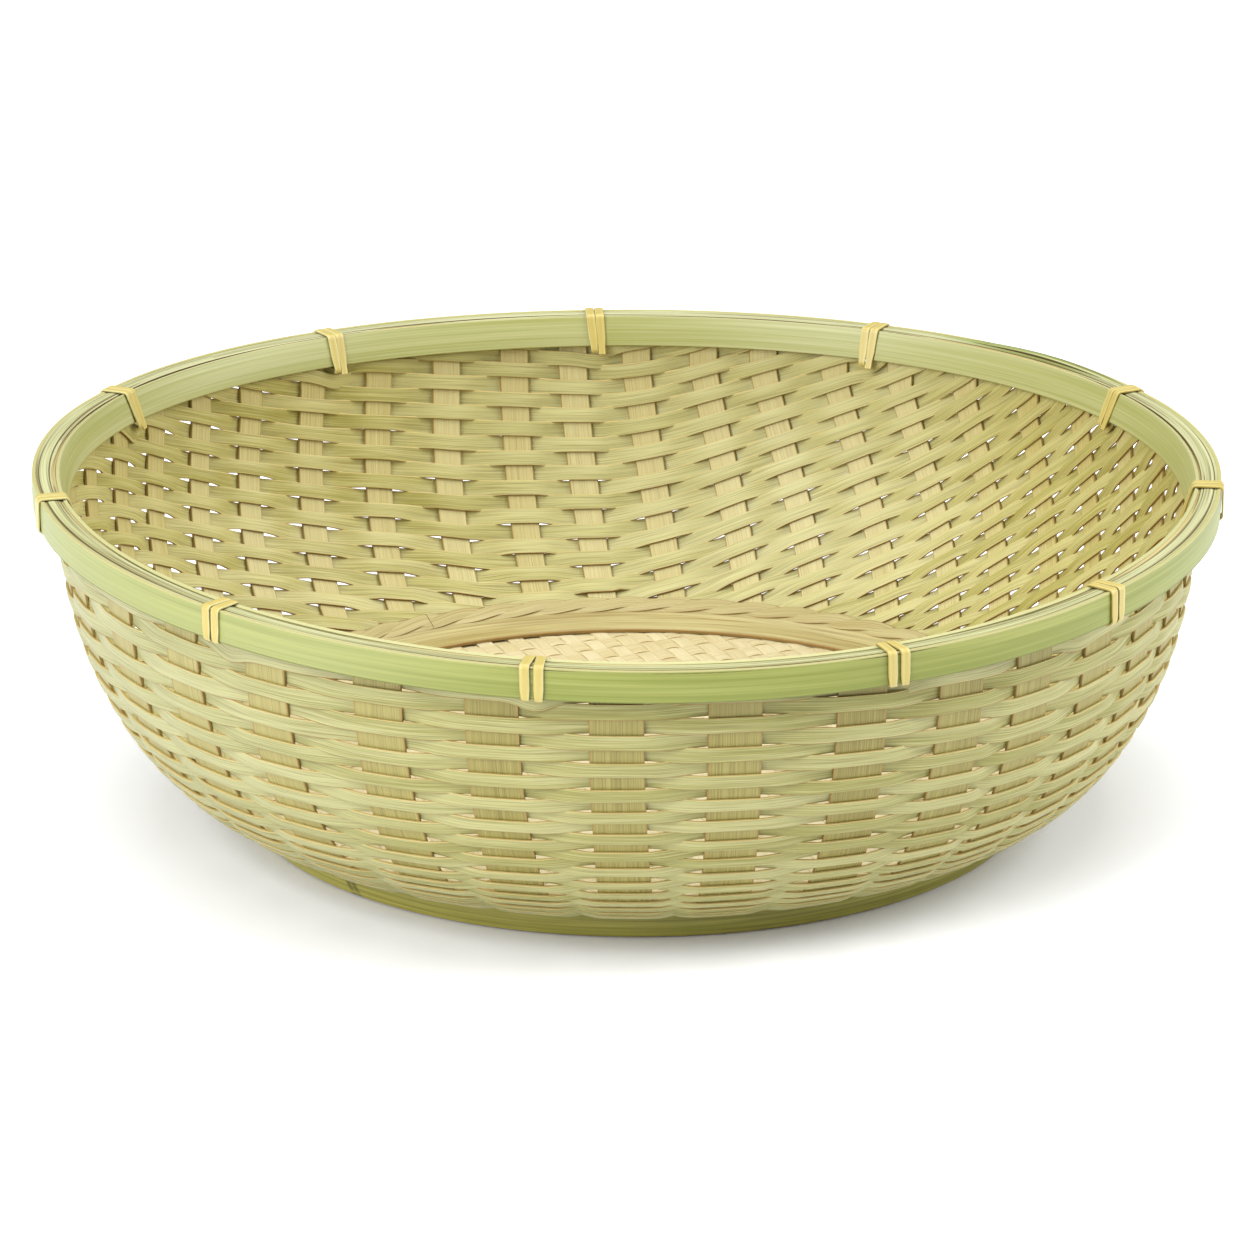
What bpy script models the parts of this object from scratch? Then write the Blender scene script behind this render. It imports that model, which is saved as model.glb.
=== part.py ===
"""A round bamboo basket: a woven bowl on a foot ring, with a rim of hoops bound by split strips.

Metres, +Z up. The origin is on the ground under the centre of the rim, and the front is towards -Y.
An azimuth is 0 at the front and grows towards +X.
"""

import math

import bmesh
import bpy
from mathutils import Matrix, Vector

# Overall sizes
RIM_RADIUS = 0.180
RIM_HEIGHT = 0.1054
RIM_DEPTH = 0.0096
FOOT_RADIUS = 0.1208
FOOT_HEIGHT = 0.0082
FOOT_SHIFT = 0.0031  # the foot and the floor sit this far right of the rim's centre

# Strips and walls
HOOP_THICKNESS = 0.0011
FILLER_THICKNESS = 0.0016
CORE_THICKNESS = 0.0007
CAP_DEPTH = 0.0035  # how deep the two short strips that cap the cut weave reach
RIM_LEAN = 0.0029  # how much further in the inner hoop stands at its lower edge
WALL_THICKNESS = 0.0028  # over the weave's crests, inside and out
WEAVE_RELIEF = 0.0010  # from the crests down to the crossings between two stakes
WEAVE_SINK = WEAVE_RELIEF / 2  # puts each face of the plain shell halfway down the relief
FOOT_THICKNESS = 0.0025
FOOT_CROWN = 0.0005  # how far the foot ring's face swells between its edges
BAND_THICKNESS = 0.0012
BAND_REACH = 0.0030  # how far the band covers the mat, in from the mat's edge
BAND_CLIMB = 0.0150  # how far the band reaches up the wall, measured along it
WALL_LEDGE = 0.0036  # how far outside the foot ring the woven wall starts
SEAT_GAP = 0.0003  # between two pieces that touch on the real basket
HOOP_CHAMFER = 0.0003

# Ties
TIE_WIDTH = 0.0028
TIE_THICKNESS = 0.0005
TIE_PITCH = 0.0034  # between the middles of a tie's two turns
TIE_CORNER = 0.0012
TIE_AZIMUTHS = [-146.5, -114.5, -76.5, -41.0, -8.5, 25.0, 51.5, 83.5, 116.5, 152.5, 183.5]
SLOT_CLEARANCE = 0.0003
CUT_OVERRUN = 0.0020

# Hand-made unevenness of the rim: it dips at the front and back, and a little to the right
RIM_SADDLE = -0.00225
RIM_SKEW = -0.00065
RIM_TILT = -0.00134

# The wall's outline: its height runs from 0 to 1, and its reach with it
WALL_ROUNDNESS = 0.6
WALL_POINTS = 13
WALL_CROWDING = 1.7  # over 1 crowds the outline's points towards the foot
RING_STEPS = 80
CORNER_STEPS = 3
STEP_SHARE = 0.0005  # the wall's outline is measured in steps of this
SCARF_SLOPE = 6.0  # a scarf's length, in thicknesses of its strip
MERGE_DISTANCE = 0.00001  # a full turn's last ring joins its first within this
SCARF_AZIMUTHS = {
    "rim_outer_hoop": 163.0,
    "rim_inner_hoop": -163.0,
    "rim_filler_outer": 139.0,
    "rim_filler_middle": -131.0,
    "rim_filler_inner": -96.0,
    "rim_core_strip": 100.0,
    "floor_band": -150.0,
    "foot_ring": -168.0,
}

# Levels and radii worked out from the sizes above
FLOOR_UNDERSIDE = FOOT_HEIGHT + SEAT_GAP
RIM_UNDERSIDE = RIM_HEIGHT - RIM_DEPTH
WALL_TOP = RIM_HEIGHT - CAP_DEPTH - SEAT_GAP
LEAN_SLOPE = RIM_LEAN / RIM_DEPTH
LEAN_STRETCH = math.hypot(1, LEAN_SLOPE)

FILLER_OUTER_RADIUS = RIM_RADIUS - HOOP_THICKNESS - SEAT_GAP
FILLER_MIDDLE_RADIUS = FILLER_OUTER_RADIUS - FILLER_THICKNESS - SEAT_GAP
CAP_RADIUS = FILLER_MIDDLE_RADIUS - FILLER_THICKNESS - SEAT_GAP
WALL_SHOULDER_RADIUS = CAP_RADIUS - LEAN_SLOPE * (WALL_TOP - RIM_UNDERSIDE)
HOOP_FOOT_RADIUS = WALL_SHOULDER_RADIUS - (WALL_THICKNESS + SEAT_GAP) * LEAN_STRETCH
INNER_HOOP_RADIUS = HOOP_FOOT_RADIUS + RIM_LEAN
INNER_HOOP_FACE = INNER_HOOP_RADIUS - HOOP_THICKNESS * LEAN_STRETCH
CORE_RADIUS = INNER_HOOP_RADIUS + SEAT_GAP + CORE_THICKNESS
WALL_START_RADIUS = FOOT_RADIUS + WALL_LEDGE

# Colours, as red, green and blue, with a roughness
WEAVE_COLOUR = (0.66, 0.64, 0.33, 0.62)
MAT_COLOUR = (0.76, 0.64, 0.38, 0.70)
BAND_COLOUR = (0.58, 0.46, 0.20, 0.66)
HOOP_COLOUR = (0.50, 0.58, 0.26, 0.45)
FILLER_COLOUR = (0.62, 0.63, 0.36, 0.55)
CORE_COLOUR = (0.70, 0.60, 0.34, 0.60)
FOOT_COLOUR = (0.38, 0.38, 0.13, 0.45)
TIE_COLOUR = (0.82, 0.70, 0.32, 0.50)


def clear_scene():
    for old in list(bpy.data.objects):
        bpy.data.objects.remove(old)


def new_collection(name):
    group = bpy.data.collections.new(name)
    bpy.context.scene.collection.children.link(group)
    return group


def bamboo(name, colour):
    material = bpy.data.materials.new(name)
    material.use_nodes = True
    shader = material.node_tree.nodes["Principled BSDF"]
    red, green, blue, roughness = colour
    shader.inputs["Base Color"].default_value = (red, green, blue, 1)
    shader.inputs["Roughness"].default_value = roughness
    shader.inputs["Metallic"].default_value = 0
    return material


def height_share(z):
    """0 at the floor, 1 at the underside of the rim and above it."""
    share = (z - FLOOR_UNDERSIDE) / (RIM_UNDERSIDE - FLOOR_UNDERSIDE)
    return min(max(share, 0), 1)


def rim_wave(azimuth):
    """How far the uneven rim stands above its mean height at an azimuth in radians."""
    return (
        RIM_SADDLE * math.cos(2 * azimuth)
        + RIM_SKEW * math.sin(2 * azimuth)
        + RIM_TILT * math.sin(azimuth)
    )


def settle(mesh):
    """Gives a true round mesh the basket's uneven rim and its slightly shifted foot."""
    for vertex in mesh.vertices:
        x, y, z = vertex.co
        share = height_share(z)
        wave = rim_wave(math.atan2(x, -y)) if share > 0 else 0
        vertex.co.x = x + FOOT_SHIFT * (1 - share) ** 2
        vertex.co.z = z + wave * share**2


def evaluated_mesh(thing):
    """The object's mesh with its modifiers applied; the object itself is removed."""
    graph = bpy.context.evaluated_depsgraph_get()
    mesh = bpy.data.meshes.new_from_object(thing.evaluated_get(graph))
    bpy.data.objects.remove(thing)
    return mesh


def turned_mesh(profile):
    """A closed profile of (radius, height) points, drawn down its outer side, screwed full circle."""
    mesh = bpy.data.meshes.new("profile")
    points = [(radius, 0, height) for radius, height in profile]
    count = len(points)
    edges = [(i, (i + 1) % count) for i in range(count)]
    mesh.from_pydata(points, edges, [])
    thing = bpy.data.objects.new("profile", mesh)
    bpy.context.scene.collection.objects.link(thing)
    screw = thing.modifiers.new("turn", "SCREW")
    screw.steps = RING_STEPS
    screw.render_steps = RING_STEPS
    screw.merge_threshold = MERGE_DISTANCE
    screw.use_merge_vertices = True
    screw.use_smooth_shade = False
    bpy.context.view_layer.update()
    return evaluated_mesh(thing)


def place(name, mesh, material, group):
    thing = bpy.data.objects.new(name, mesh)
    mesh.name = name
    mesh.materials.clear()
    mesh.materials.append(material)
    group.objects.link(thing)
    mesh.shade_smooth()
    mesh.set_sharp_from_angle(angle=math.radians(35))
    return thing


def cutter_box(name, size, matrix, group):
    """A hidden box that a Boolean takes away; size is its (radial, sideways, upward) extent."""
    mesh = bpy.data.meshes.new(name)
    box = bmesh.new()
    bmesh.ops.create_cube(box, size=1, matrix=matrix @ Matrix.Diagonal((*size, 1)))
    box.to_mesh(mesh)
    box.free()
    cutter = bpy.data.objects.new(name, mesh)
    cutter.hide_render = True
    cutter.display_type = "WIRE"
    group.objects.link(cutter)
    return cutter


def at_azimuth(degrees, radius, z):
    """A frame on the basket: X points outwards, Y sideways to the right, Z up."""
    turn = Matrix.Rotation(math.radians(degrees) - math.pi / 2, 4, "Z")
    return turn @ Matrix.Translation((radius, 0, z))


def scarf(strip, radius, bottom, top, thickness, lean, cutters):
    """Cuts a closed ring open on a slant through its thickness, where the strip's two ends meet."""
    degrees = SCARF_AZIMUTHS[strip.name]
    share = height_share(bottom)
    middle = (bottom + top) / 2 + rim_wave(math.radians(degrees)) * share**2
    length = thickness * SCARF_SLOPE + 2 * CUT_OVERRUN
    depth = top - bottom + 2 * CUT_OVERRUN
    shift = Matrix.Translation((FOOT_SHIFT * (1 - share) ** 2, 0, 0))
    slant = Matrix.Rotation(math.atan(1 / SCARF_SLOPE), 4, "Z")
    tip = Matrix.Rotation(math.atan(lean), 4, "Y")
    matrix = shift @ at_azimuth(degrees, radius, middle) @ tip @ slant
    cutter = cutter_box(strip.name + "_scarf", (SEAT_GAP, length, depth), matrix, cutters)
    cut = strip.modifiers.new("scarf", "BOOLEAN")
    cut.object = cutter
    cut.solver = "EXACT"


def upright_strip(name, outer, thickness, depth, material, group, cutters):
    """A strip bent round on edge, its top level with the rim's."""
    bottom = RIM_HEIGHT - depth
    inner = outer - thickness
    profile = [(outer, RIM_HEIGHT), (outer, bottom), (inner, bottom), (inner, RIM_HEIGHT)]
    mesh = turned_mesh(profile)
    settle(mesh)
    strip = place(name, mesh, material, group)
    scarf(strip, outer - thickness / 2, bottom, RIM_HEIGHT, thickness, 0, cutters)
    return strip


def outer_hoop(material, group, cutters):
    """The broad strip round the outside of the rim, with its skin's edges eased."""
    outer = RIM_RADIUS
    inner = outer - HOOP_THICKNESS
    eased = outer - HOOP_CHAMFER
    profile = [
        (eased, RIM_HEIGHT),
        (outer, RIM_HEIGHT - HOOP_CHAMFER),
        (outer, RIM_UNDERSIDE + HOOP_CHAMFER),
        (eased, RIM_UNDERSIDE),
        (inner, RIM_UNDERSIDE),
        (inner, RIM_HEIGHT),
    ]
    mesh = turned_mesh(profile)
    settle(mesh)
    hoop = place("rim_outer_hoop", mesh, material, group)
    middle = outer - HOOP_THICKNESS / 2
    scarf(hoop, middle, RIM_UNDERSIDE, RIM_HEIGHT, HOOP_THICKNESS, 0, cutters)


def inner_hoop(material, group, cutters):
    """The broad strip inside the rim. It leans with the wall that it presses outwards."""
    width = HOOP_THICKNESS * LEAN_STRETCH
    profile = [
        (INNER_HOOP_RADIUS, RIM_HEIGHT),
        (HOOP_FOOT_RADIUS, RIM_UNDERSIDE),
        (HOOP_FOOT_RADIUS - width + HOOP_CHAMFER, RIM_UNDERSIDE),
        (HOOP_FOOT_RADIUS - width + HOOP_CHAMFER * LEAN_SLOPE, RIM_UNDERSIDE + HOOP_CHAMFER),
        (INNER_HOOP_FACE - HOOP_CHAMFER * LEAN_SLOPE, RIM_HEIGHT - HOOP_CHAMFER),
        (INNER_HOOP_FACE + HOOP_CHAMFER, RIM_HEIGHT),
    ]
    mesh = turned_mesh(profile)
    settle(mesh)
    hoop = place("rim_inner_hoop", mesh, material, group)
    middle = (INNER_HOOP_FACE + HOOP_FOOT_RADIUS) / 2
    scarf(hoop, middle, RIM_UNDERSIDE, RIM_HEIGHT, width, LEAN_SLOPE, cutters)


def rim_strips(materials, group, cutters):
    """Two full fillers outside the wall, and two short strips that cap its cut edge."""
    filler = materials["filler"]
    core = materials["core"]
    cap_thickness = CAP_RADIUS - SEAT_GAP - CORE_RADIUS
    upright_strip(
        "rim_filler_outer", FILLER_OUTER_RADIUS, FILLER_THICKNESS, RIM_DEPTH, filler, group, cutters
    )
    upright_strip(
        "rim_filler_middle", FILLER_MIDDLE_RADIUS, FILLER_THICKNESS, RIM_DEPTH, filler, group, cutters
    )
    upright_strip("rim_filler_inner", CAP_RADIUS, cap_thickness, CAP_DEPTH, filler, group, cutters)
    upright_strip("rim_core_strip", CORE_RADIUS, CORE_THICKNESS, CAP_DEPTH, core, group, cutters)


def wall_point(share, depth):
    """A point of the wall's outline, sunk by depth into the wall, as (radius, height).

    The outline starts level at the foot and ends nearly upright at the rim's underside.
    """
    fall = 1 - share
    reach = WALL_SHOULDER_RADIUS - WALL_START_RADIUS
    rise = RIM_UNDERSIDE - FLOOR_UNDERSIDE
    swell = 1 - fall * fall
    radius = WALL_START_RADIUS + reach * swell**WALL_ROUNDNESS
    height = FLOOR_UNDERSIDE + rise * share
    if share <= 0:
        return radius, height + depth
    steepness = 2 * fall * WALL_ROUNDNESS * swell ** (WALL_ROUNDNESS - 1)
    normal = Vector((rise, -reach * steepness)).normalized()
    return radius - depth * normal.x, height - depth * normal.y


def climbed_share(length):
    """The share of the wall's height that a strip laid up it from the foot reaches."""
    share = 0
    here = Vector(wall_point(share, 0))
    while length > 0 and share < 1:
        ahead = Vector(wall_point(share + STEP_SHARE, 0))
        step = (ahead - here).length
        share += STEP_SHARE * min(length / step, 1)
        length -= step
        here = ahead
    return share


def wall_shares(last_share, count):
    return [last_share * (i / count) ** WALL_CROWDING for i in range(count + 1)]


def face_depth(share):
    """How far the shell's face lies under the weave's crests: not at all where band or hoops seat."""
    return WEAVE_SINK if climbed_share(BAND_CLIMB) < share < 1 else 0


def woven_wall(material, group, slots):
    """The woven bowl, as one shell through the middle of the weave's relief, open at both ends."""
    shares = wall_shares(1, WALL_POINTS)
    outside = [wall_point(share, face_depth(share)) for share in reversed(shares)]
    inside = [wall_point(share, WALL_THICKNESS - face_depth(share)) for share in shares[:-1]]
    shoulder = WALL_SHOULDER_RADIUS - WALL_THICKNESS * LEAN_STRETCH
    inside.append((shoulder, RIM_UNDERSIDE))
    flare = LEAN_SLOPE * (WALL_TOP - RIM_UNDERSIDE)
    top = [(shoulder + flare, WALL_TOP), (WALL_SHOULDER_RADIUS + flare, WALL_TOP)]
    mesh = turned_mesh(top[1:] + outside + inside + top[:1])
    settle(mesh)
    wall = place("woven_wall", mesh, material, group)
    cut = wall.modifiers.new("tie_slots", "BOOLEAN")
    cut.operand_type = "COLLECTION"
    cut.collection = slots
    cut.solver = "EXACT"


def floor_mat(material, group):
    """The plaited floor: a disc as thick as the wall, level with the wall's lower edge."""
    mesh = bpy.data.meshes.new("floor_mat")
    disc = bmesh.new()
    radius = WALL_START_RADIUS - SEAT_GAP
    middle = FLOOR_UNDERSIDE + WALL_THICKNESS / 2
    bmesh.ops.create_cone(
        disc,
        cap_ends=True,
        segments=RING_STEPS,
        radius1=radius,
        radius2=radius,
        depth=WALL_THICKNESS,
        matrix=Matrix.Translation((FOOT_SHIFT, 0, middle)),
    )
    disc.to_mesh(mesh)
    disc.free()
    place("floor_mat", mesh, material, group)


def floor_band(material, group, cutters):
    """The flat strip bent round over the joint of mat and wall."""
    last_share = climbed_share(BAND_CLIMB)
    under = WALL_THICKNESS + SEAT_GAP
    over = under + BAND_THICKNESS
    shares = wall_shares(last_share, CORNER_STEPS)[1:]
    lower = [wall_point(share, under) for share in shares]
    upper = [wall_point(share, over) for share in shares]
    start = WALL_START_RADIUS - BAND_REACH
    level = FLOOR_UNDERSIDE
    profile = list(reversed(lower)) + [(start, level + under), (start, level + over)] + upper
    mesh = turned_mesh(profile)
    settle(mesh)
    band = place("floor_band", mesh, material, group)
    bottom = level + under
    top = upper[-1][1]
    middle = (start + lower[-1][0]) / 2
    degrees = SCARF_AZIMUTHS["floor_band"]
    width = lower[-1][0] - start + 2 * CUT_OVERRUN
    depth = top - bottom + 2 * CUT_OVERRUN
    matrix = at_azimuth(degrees, middle, (bottom + top) / 2)
    cutter = cutter_box("floor_band_joint", (width, SEAT_GAP, depth), matrix, cutters)
    cut = band.modifiers.new("joint", "BOOLEAN")
    cut.object = cutter
    cut.solver = "EXACT"


def foot_ring(material, group, cutters):
    """The stout ring that the basket stands on, with a slightly swelling face."""
    outer = FOOT_RADIUS - FOOT_CROWN
    inner = FOOT_RADIUS - FOOT_THICKNESS
    profile = [
        (outer, FOOT_HEIGHT),
        (FOOT_RADIUS, FOOT_HEIGHT - FOOT_CROWN * 2),
        (FOOT_RADIUS, FOOT_CROWN * 2),
        (outer, 0),
        (inner, 0),
        (inner, FOOT_HEIGHT),
    ]
    mesh = turned_mesh(profile)
    settle(mesh)
    ring = place("foot_ring", mesh, material, group)
    middle = FOOT_RADIUS - FOOT_THICKNESS / 2
    scarf(ring, middle, 0, FOOT_HEIGHT, FOOT_THICKNESS, 0, cutters)


def rounded(corners, radius):
    """An open path through corners, given as (sideways, radius, height), with its corners rounded."""
    path = [Vector(corners[0])]
    for before, here, after in zip(corners, corners[1:], corners[2:]):
        here = Vector(here)
        back = (Vector(before) - here).normalized()
        on = (Vector(after) - here).normalized()
        half = back.angle(on) / 2
        reach = radius / math.tan(half)
        bisector = (back + on).normalized()
        centre = here + bisector * (radius / math.sin(half))
        first = (here + back * reach - centre).normalized()
        last = (here + on * reach - centre).normalized()
        for i in range(CORNER_STEPS + 1):
            path.append(centre + first.slerp(last, i / CORNER_STEPS) * radius)
    path.append(Vector(corners[-1]))
    return path


def tie_path():
    """A tie's middle line: two turns round the rim, ending tucked in under the fillers."""
    half = TIE_THICKNESS / 2
    off = SEAT_GAP + half
    left = -TIE_PITCH / 2
    right = TIE_PITCH / 2
    outside = RIM_RADIUS + off
    above = RIM_HEIGHT + off
    below = RIM_UNDERSIDE - off
    inside_top = INNER_HOOP_FACE - off * LEAN_STRETCH + LEAN_SLOPE * off
    inside_foot = inside_top - LEAN_SLOPE * (above - below)
    tuck = FILLER_MIDDLE_RADIUS
    corners = [
        (left, inside_foot, below),
        (left, inside_top, above),
        (left, outside, above),
        (left, outside, below),
        (left, tuck - FILLER_THICKNESS, below),
        (right, inside_foot, below),
        (right, inside_top, above),
        (right, outside, above),
        (right, outside, below),
        (right, tuck, below),
    ]
    return corners


def rim_tie(name, degrees, material, group, slots):
    """One split strip wound twice round the rim, through a slot in the weave under the hoops."""
    path = rounded(tie_path(), TIE_CORNER)
    ribbon = bmesh.new()
    side = Vector((TIE_WIDTH, 0, 0))
    line = [ribbon.verts.new(point - side / 2) for point in path]
    edges = [ribbon.edges.new(pair) for pair in zip(line, line[1:])]
    swept = bmesh.ops.extrude_edge_only(ribbon, edges=edges)
    moved = [item for item in swept["geom"] if isinstance(item, bmesh.types.BMVert)]
    bmesh.ops.translate(ribbon, verts=moved, vec=side)
    bmesh.ops.recalc_face_normals(ribbon, faces=ribbon.faces)
    upright = Matrix(((0, 1, 0, 0), (1, 0, 0, 0), (0, 0, 1, 0), (0, 0, 0, 1)))
    bmesh.ops.transform(ribbon, matrix=at_azimuth(degrees, 0, 0) @ upright, verts=ribbon.verts)
    mesh = bpy.data.meshes.new(name)
    ribbon.to_mesh(mesh)
    ribbon.free()
    settle(mesh)
    tie = place(name, mesh, material, group)
    wall = tie.modifiers.new("strip", "SOLIDIFY")
    wall.thickness = TIE_THICKNESS
    wall.offset = 0
    wall.use_even_offset = True

    width = TIE_PITCH + TIE_WIDTH + 2 * SLOT_CLEARANCE
    height = TIE_THICKNESS + 2 * SEAT_GAP
    middle = RIM_UNDERSIDE - height / 2
    middle += rim_wave(math.radians(degrees)) * height_share(middle) ** 2
    reach = WALL_SHOULDER_RADIUS - WALL_THICKNESS / 2
    size = (WALL_THICKNESS + 2 * CUT_OVERRUN, width, height)
    cutter_box(name + "_slot", size, at_azimuth(degrees, reach, middle), slots)


def build():
    clear_scene()
    basket = new_collection("bamboo_basket")
    cutters = new_collection("cutters")
    slots = new_collection("tie_slots")
    materials = {
        "weave": bamboo("woven bamboo", WEAVE_COLOUR),
        "mat": bamboo("plaited mat", MAT_COLOUR),
        "band": bamboo("tan strip", BAND_COLOUR),
        "hoop": bamboo("green hoop", HOOP_COLOUR),
        "filler": bamboo("pale filler strip", FILLER_COLOUR),
        "core": bamboo("core strip", CORE_COLOUR),
        "foot": bamboo("olive foot", FOOT_COLOUR),
        "tie": bamboo("tie strip", TIE_COLOUR),
    }
    foot_ring(materials["foot"], basket, cutters)
    floor_mat(materials["mat"], basket)
    floor_band(materials["band"], basket, cutters)
    woven_wall(materials["weave"], basket, slots)
    outer_hoop(materials["hoop"], basket, cutters)
    inner_hoop(materials["hoop"], basket, cutters)
    rim_strips(materials, basket, cutters)
    for number, degrees in enumerate(TIE_AZIMUTHS, start=1):
        rim_tie(f"rim_tie_{number:02d}", degrees, materials["tie"], basket, slots)
    bpy.context.view_layer.update()


build()
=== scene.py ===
# %% [markdown]
# A round bamboo basket, built strip by strip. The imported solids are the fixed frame: they say how large
# everything is and where it sits. In this lesson each solid gets the strips that the real basket has
# there, woven, bent and bound as a basket maker would do it. A picture of a weave on a smooth bowl would
# be quicker, but it would let no light through and would look flat from the side.

# %% Load the frame
import math

import bpy
import numpy as np
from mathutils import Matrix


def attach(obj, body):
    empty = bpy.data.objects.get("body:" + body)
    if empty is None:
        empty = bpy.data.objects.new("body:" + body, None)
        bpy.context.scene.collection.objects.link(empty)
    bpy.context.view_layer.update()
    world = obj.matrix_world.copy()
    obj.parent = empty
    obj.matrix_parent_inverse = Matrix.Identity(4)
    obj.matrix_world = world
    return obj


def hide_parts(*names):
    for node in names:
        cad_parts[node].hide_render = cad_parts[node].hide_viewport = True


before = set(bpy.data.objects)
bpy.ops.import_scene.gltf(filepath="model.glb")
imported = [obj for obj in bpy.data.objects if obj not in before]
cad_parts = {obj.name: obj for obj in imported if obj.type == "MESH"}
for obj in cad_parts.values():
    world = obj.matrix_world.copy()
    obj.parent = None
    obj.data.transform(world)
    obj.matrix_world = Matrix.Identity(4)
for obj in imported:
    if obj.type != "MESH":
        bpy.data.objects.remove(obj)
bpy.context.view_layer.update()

bpy.ops.object.select_all(action="DESELECT")
print("nodes in the frame:", len(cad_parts))

# %% [markdown]
# The camera stands in front of the basket and a little above it, with a long lens, so that the far rim
# looks almost as wide as the near one. Its place and lens came from fitting the rim's ellipse in the
# photograph.

# %% Camera
CAMERA_PLACE = (0, -1.8794, 0.7014)
CAMERA_TILT = 71
CAMERA_LENS = 186.6
SENSOR_WIDTH = 36
bpy.ops.object.camera_add(location=CAMERA_PLACE, rotation=(math.radians(CAMERA_TILT), 0, 0))
camera = bpy.context.object
camera.name = "photo_camera"
camera.data.lens = CAMERA_LENS
camera.data.sensor_width = SENSOR_WIDTH
bpy.context.scene.camera = camera
bpy.context.scene.view_settings.view_transform = "Standard"
print("camera lens:", camera.data.lens, "mm")

# %% [markdown]
# The floor is plain and nearly white, and the air gives a weak light from all round. The floor lies a
# hair below the foot, so that the two never flicker through each other.

# %% Floor and air
FLOOR_SIZE = 12
FLOOR_DROP = 0.0002
FLOOR_COLOUR = (0.955, 0.965, 1.0, 1)
AIR_COLOUR = (0.94, 0.965, 1.0, 1)
AIR_STRENGTH = 0.26
bpy.ops.mesh.primitive_plane_add(size=FLOOR_SIZE, location=(0, 0, -FLOOR_DROP))
floor = bpy.context.object
floor.name = "studio_floor"
floor_paint = bpy.data.materials.new("studio_white")
floor_paint.use_nodes = True
floor_shader = floor_paint.node_tree.nodes["Principled BSDF"]
floor_shader.inputs["Base Color"].default_value = FLOOR_COLOUR
floor_shader.inputs["Roughness"].default_value = 0.9
floor_shader.inputs["Specular IOR Level"].default_value = 0.1
floor.data.materials.append(floor_paint)

world = bpy.data.worlds.new("studio_air")
bpy.context.scene.world = world
world.use_nodes = True
air = world.node_tree.nodes["Background"]
air.inputs["Color"].default_value = AIR_COLOUR
air.inputs["Strength"].default_value = AIR_STRENGTH
print("floor:", floor.name, "and air:", world.name)

# %% [markdown]
# Three large soft lights stand in front to the left, on the right and overhead. So the front of the
# basket is darker than its sides, and the shadow round the foot stays faint. Small lamps would cast
# harder shadows than the photograph has.

# %% Lights
LIGHT_AIM = (0, 0, 0.05)
# Each light's name, its place, the length of its sides and its watts
LIGHTS = [
    ("left_light", (-1.8, -1.6, 1.5), 2.0, 90),
    ("right_light", (2.4, 0, 1.5), 2.0, 74),
    ("top_light", (0, 0, 2.6), 2.4, 64),
]


def soft_light(name, place, size, watts):
    """A square softbox at a place, turned to face the basket."""
    away = np.subtract(place, LIGHT_AIM)
    tip = math.atan2(math.hypot(away[0], away[1]), away[2])
    turn = math.atan2(away[1], away[0]) + math.pi / 2
    bpy.ops.object.light_add(type="AREA", location=place, rotation=(tip, 0, turn))
    lamp = bpy.context.object
    lamp.name = name
    lamp.data.shape = "SQUARE"
    lamp.data.size = size
    lamp.data.energy = watts


for name, place, size, watts in LIGHTS:
    soft_light(name, place, size, watts)

# %% [markdown]
# The bowl is one smooth surface of revolution that the maker's hands have pushed slightly out of true.
# These sizes are the frame's own, in metres and degrees. The pieces of the rim lie one inside the other,
# with a small gap between neighbours, so each one's radius follows from the one outside it.

# %% The frame's sizes
RIM_RADIUS = 0.180
RIM_HEIGHT = 0.1054
RIM_DEPTH = 0.0096
FOOT_RADIUS = 0.1208
FOOT_HEIGHT = 0.0082
FOOT_SHIFT = 0.0031
FOOT_THICKNESS = 0.0025
HOOP_THICKNESS = 0.0011
FILLER_THICKNESS = 0.0016
CORE_THICKNESS = 0.0007
CAP_DEPTH = 0.0035
RIM_LEAN = 0.0029
WALL_THICKNESS = 0.0028
BAND_THICKNESS = 0.0012
BAND_REACH = 0.0030
BAND_CLIMB = 0.0150
SEAT_GAP = 0.0003
TIE_THICKNESS = 0.0005
TIE_AZIMUTHS = [-146.5, -114.5, -76.5, -41.0, -8.5, 25.0, 51.5, 83.5, 116.5, 152.5, 183.5]
FLOOR_UNDERSIDE = FOOT_HEIGHT + SEAT_GAP
RIM_UNDERSIDE = RIM_HEIGHT - RIM_DEPTH
WALL_TOP = RIM_HEIGHT - CAP_DEPTH - SEAT_GAP
LEAN_SLOPE = RIM_LEAN / RIM_DEPTH
LEAN_STRETCH = math.hypot(1, LEAN_SLOPE)
FILLER_OUTER_RADIUS = RIM_RADIUS - HOOP_THICKNESS - SEAT_GAP
FILLER_MIDDLE_RADIUS = FILLER_OUTER_RADIUS - FILLER_THICKNESS - SEAT_GAP
CAP_RADIUS = FILLER_MIDDLE_RADIUS - FILLER_THICKNESS - SEAT_GAP
WALL_SHOULDER_RADIUS = CAP_RADIUS - LEAN_SLOPE * (WALL_TOP - RIM_UNDERSIDE)
HOOP_FOOT_RADIUS = WALL_SHOULDER_RADIUS - (WALL_THICKNESS + SEAT_GAP) * LEAN_STRETCH
INNER_HOOP_RADIUS = HOOP_FOOT_RADIUS + RIM_LEAN
CORE_RADIUS = INNER_HOOP_RADIUS + SEAT_GAP + CORE_THICKNESS
WALL_SET_OUT = 0.0036
WALL_START_RADIUS = FOOT_RADIUS + WALL_SET_OUT
print("rim", RIM_RADIUS * 2, "m across and", RIM_HEIGHT, "m high")

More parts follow.
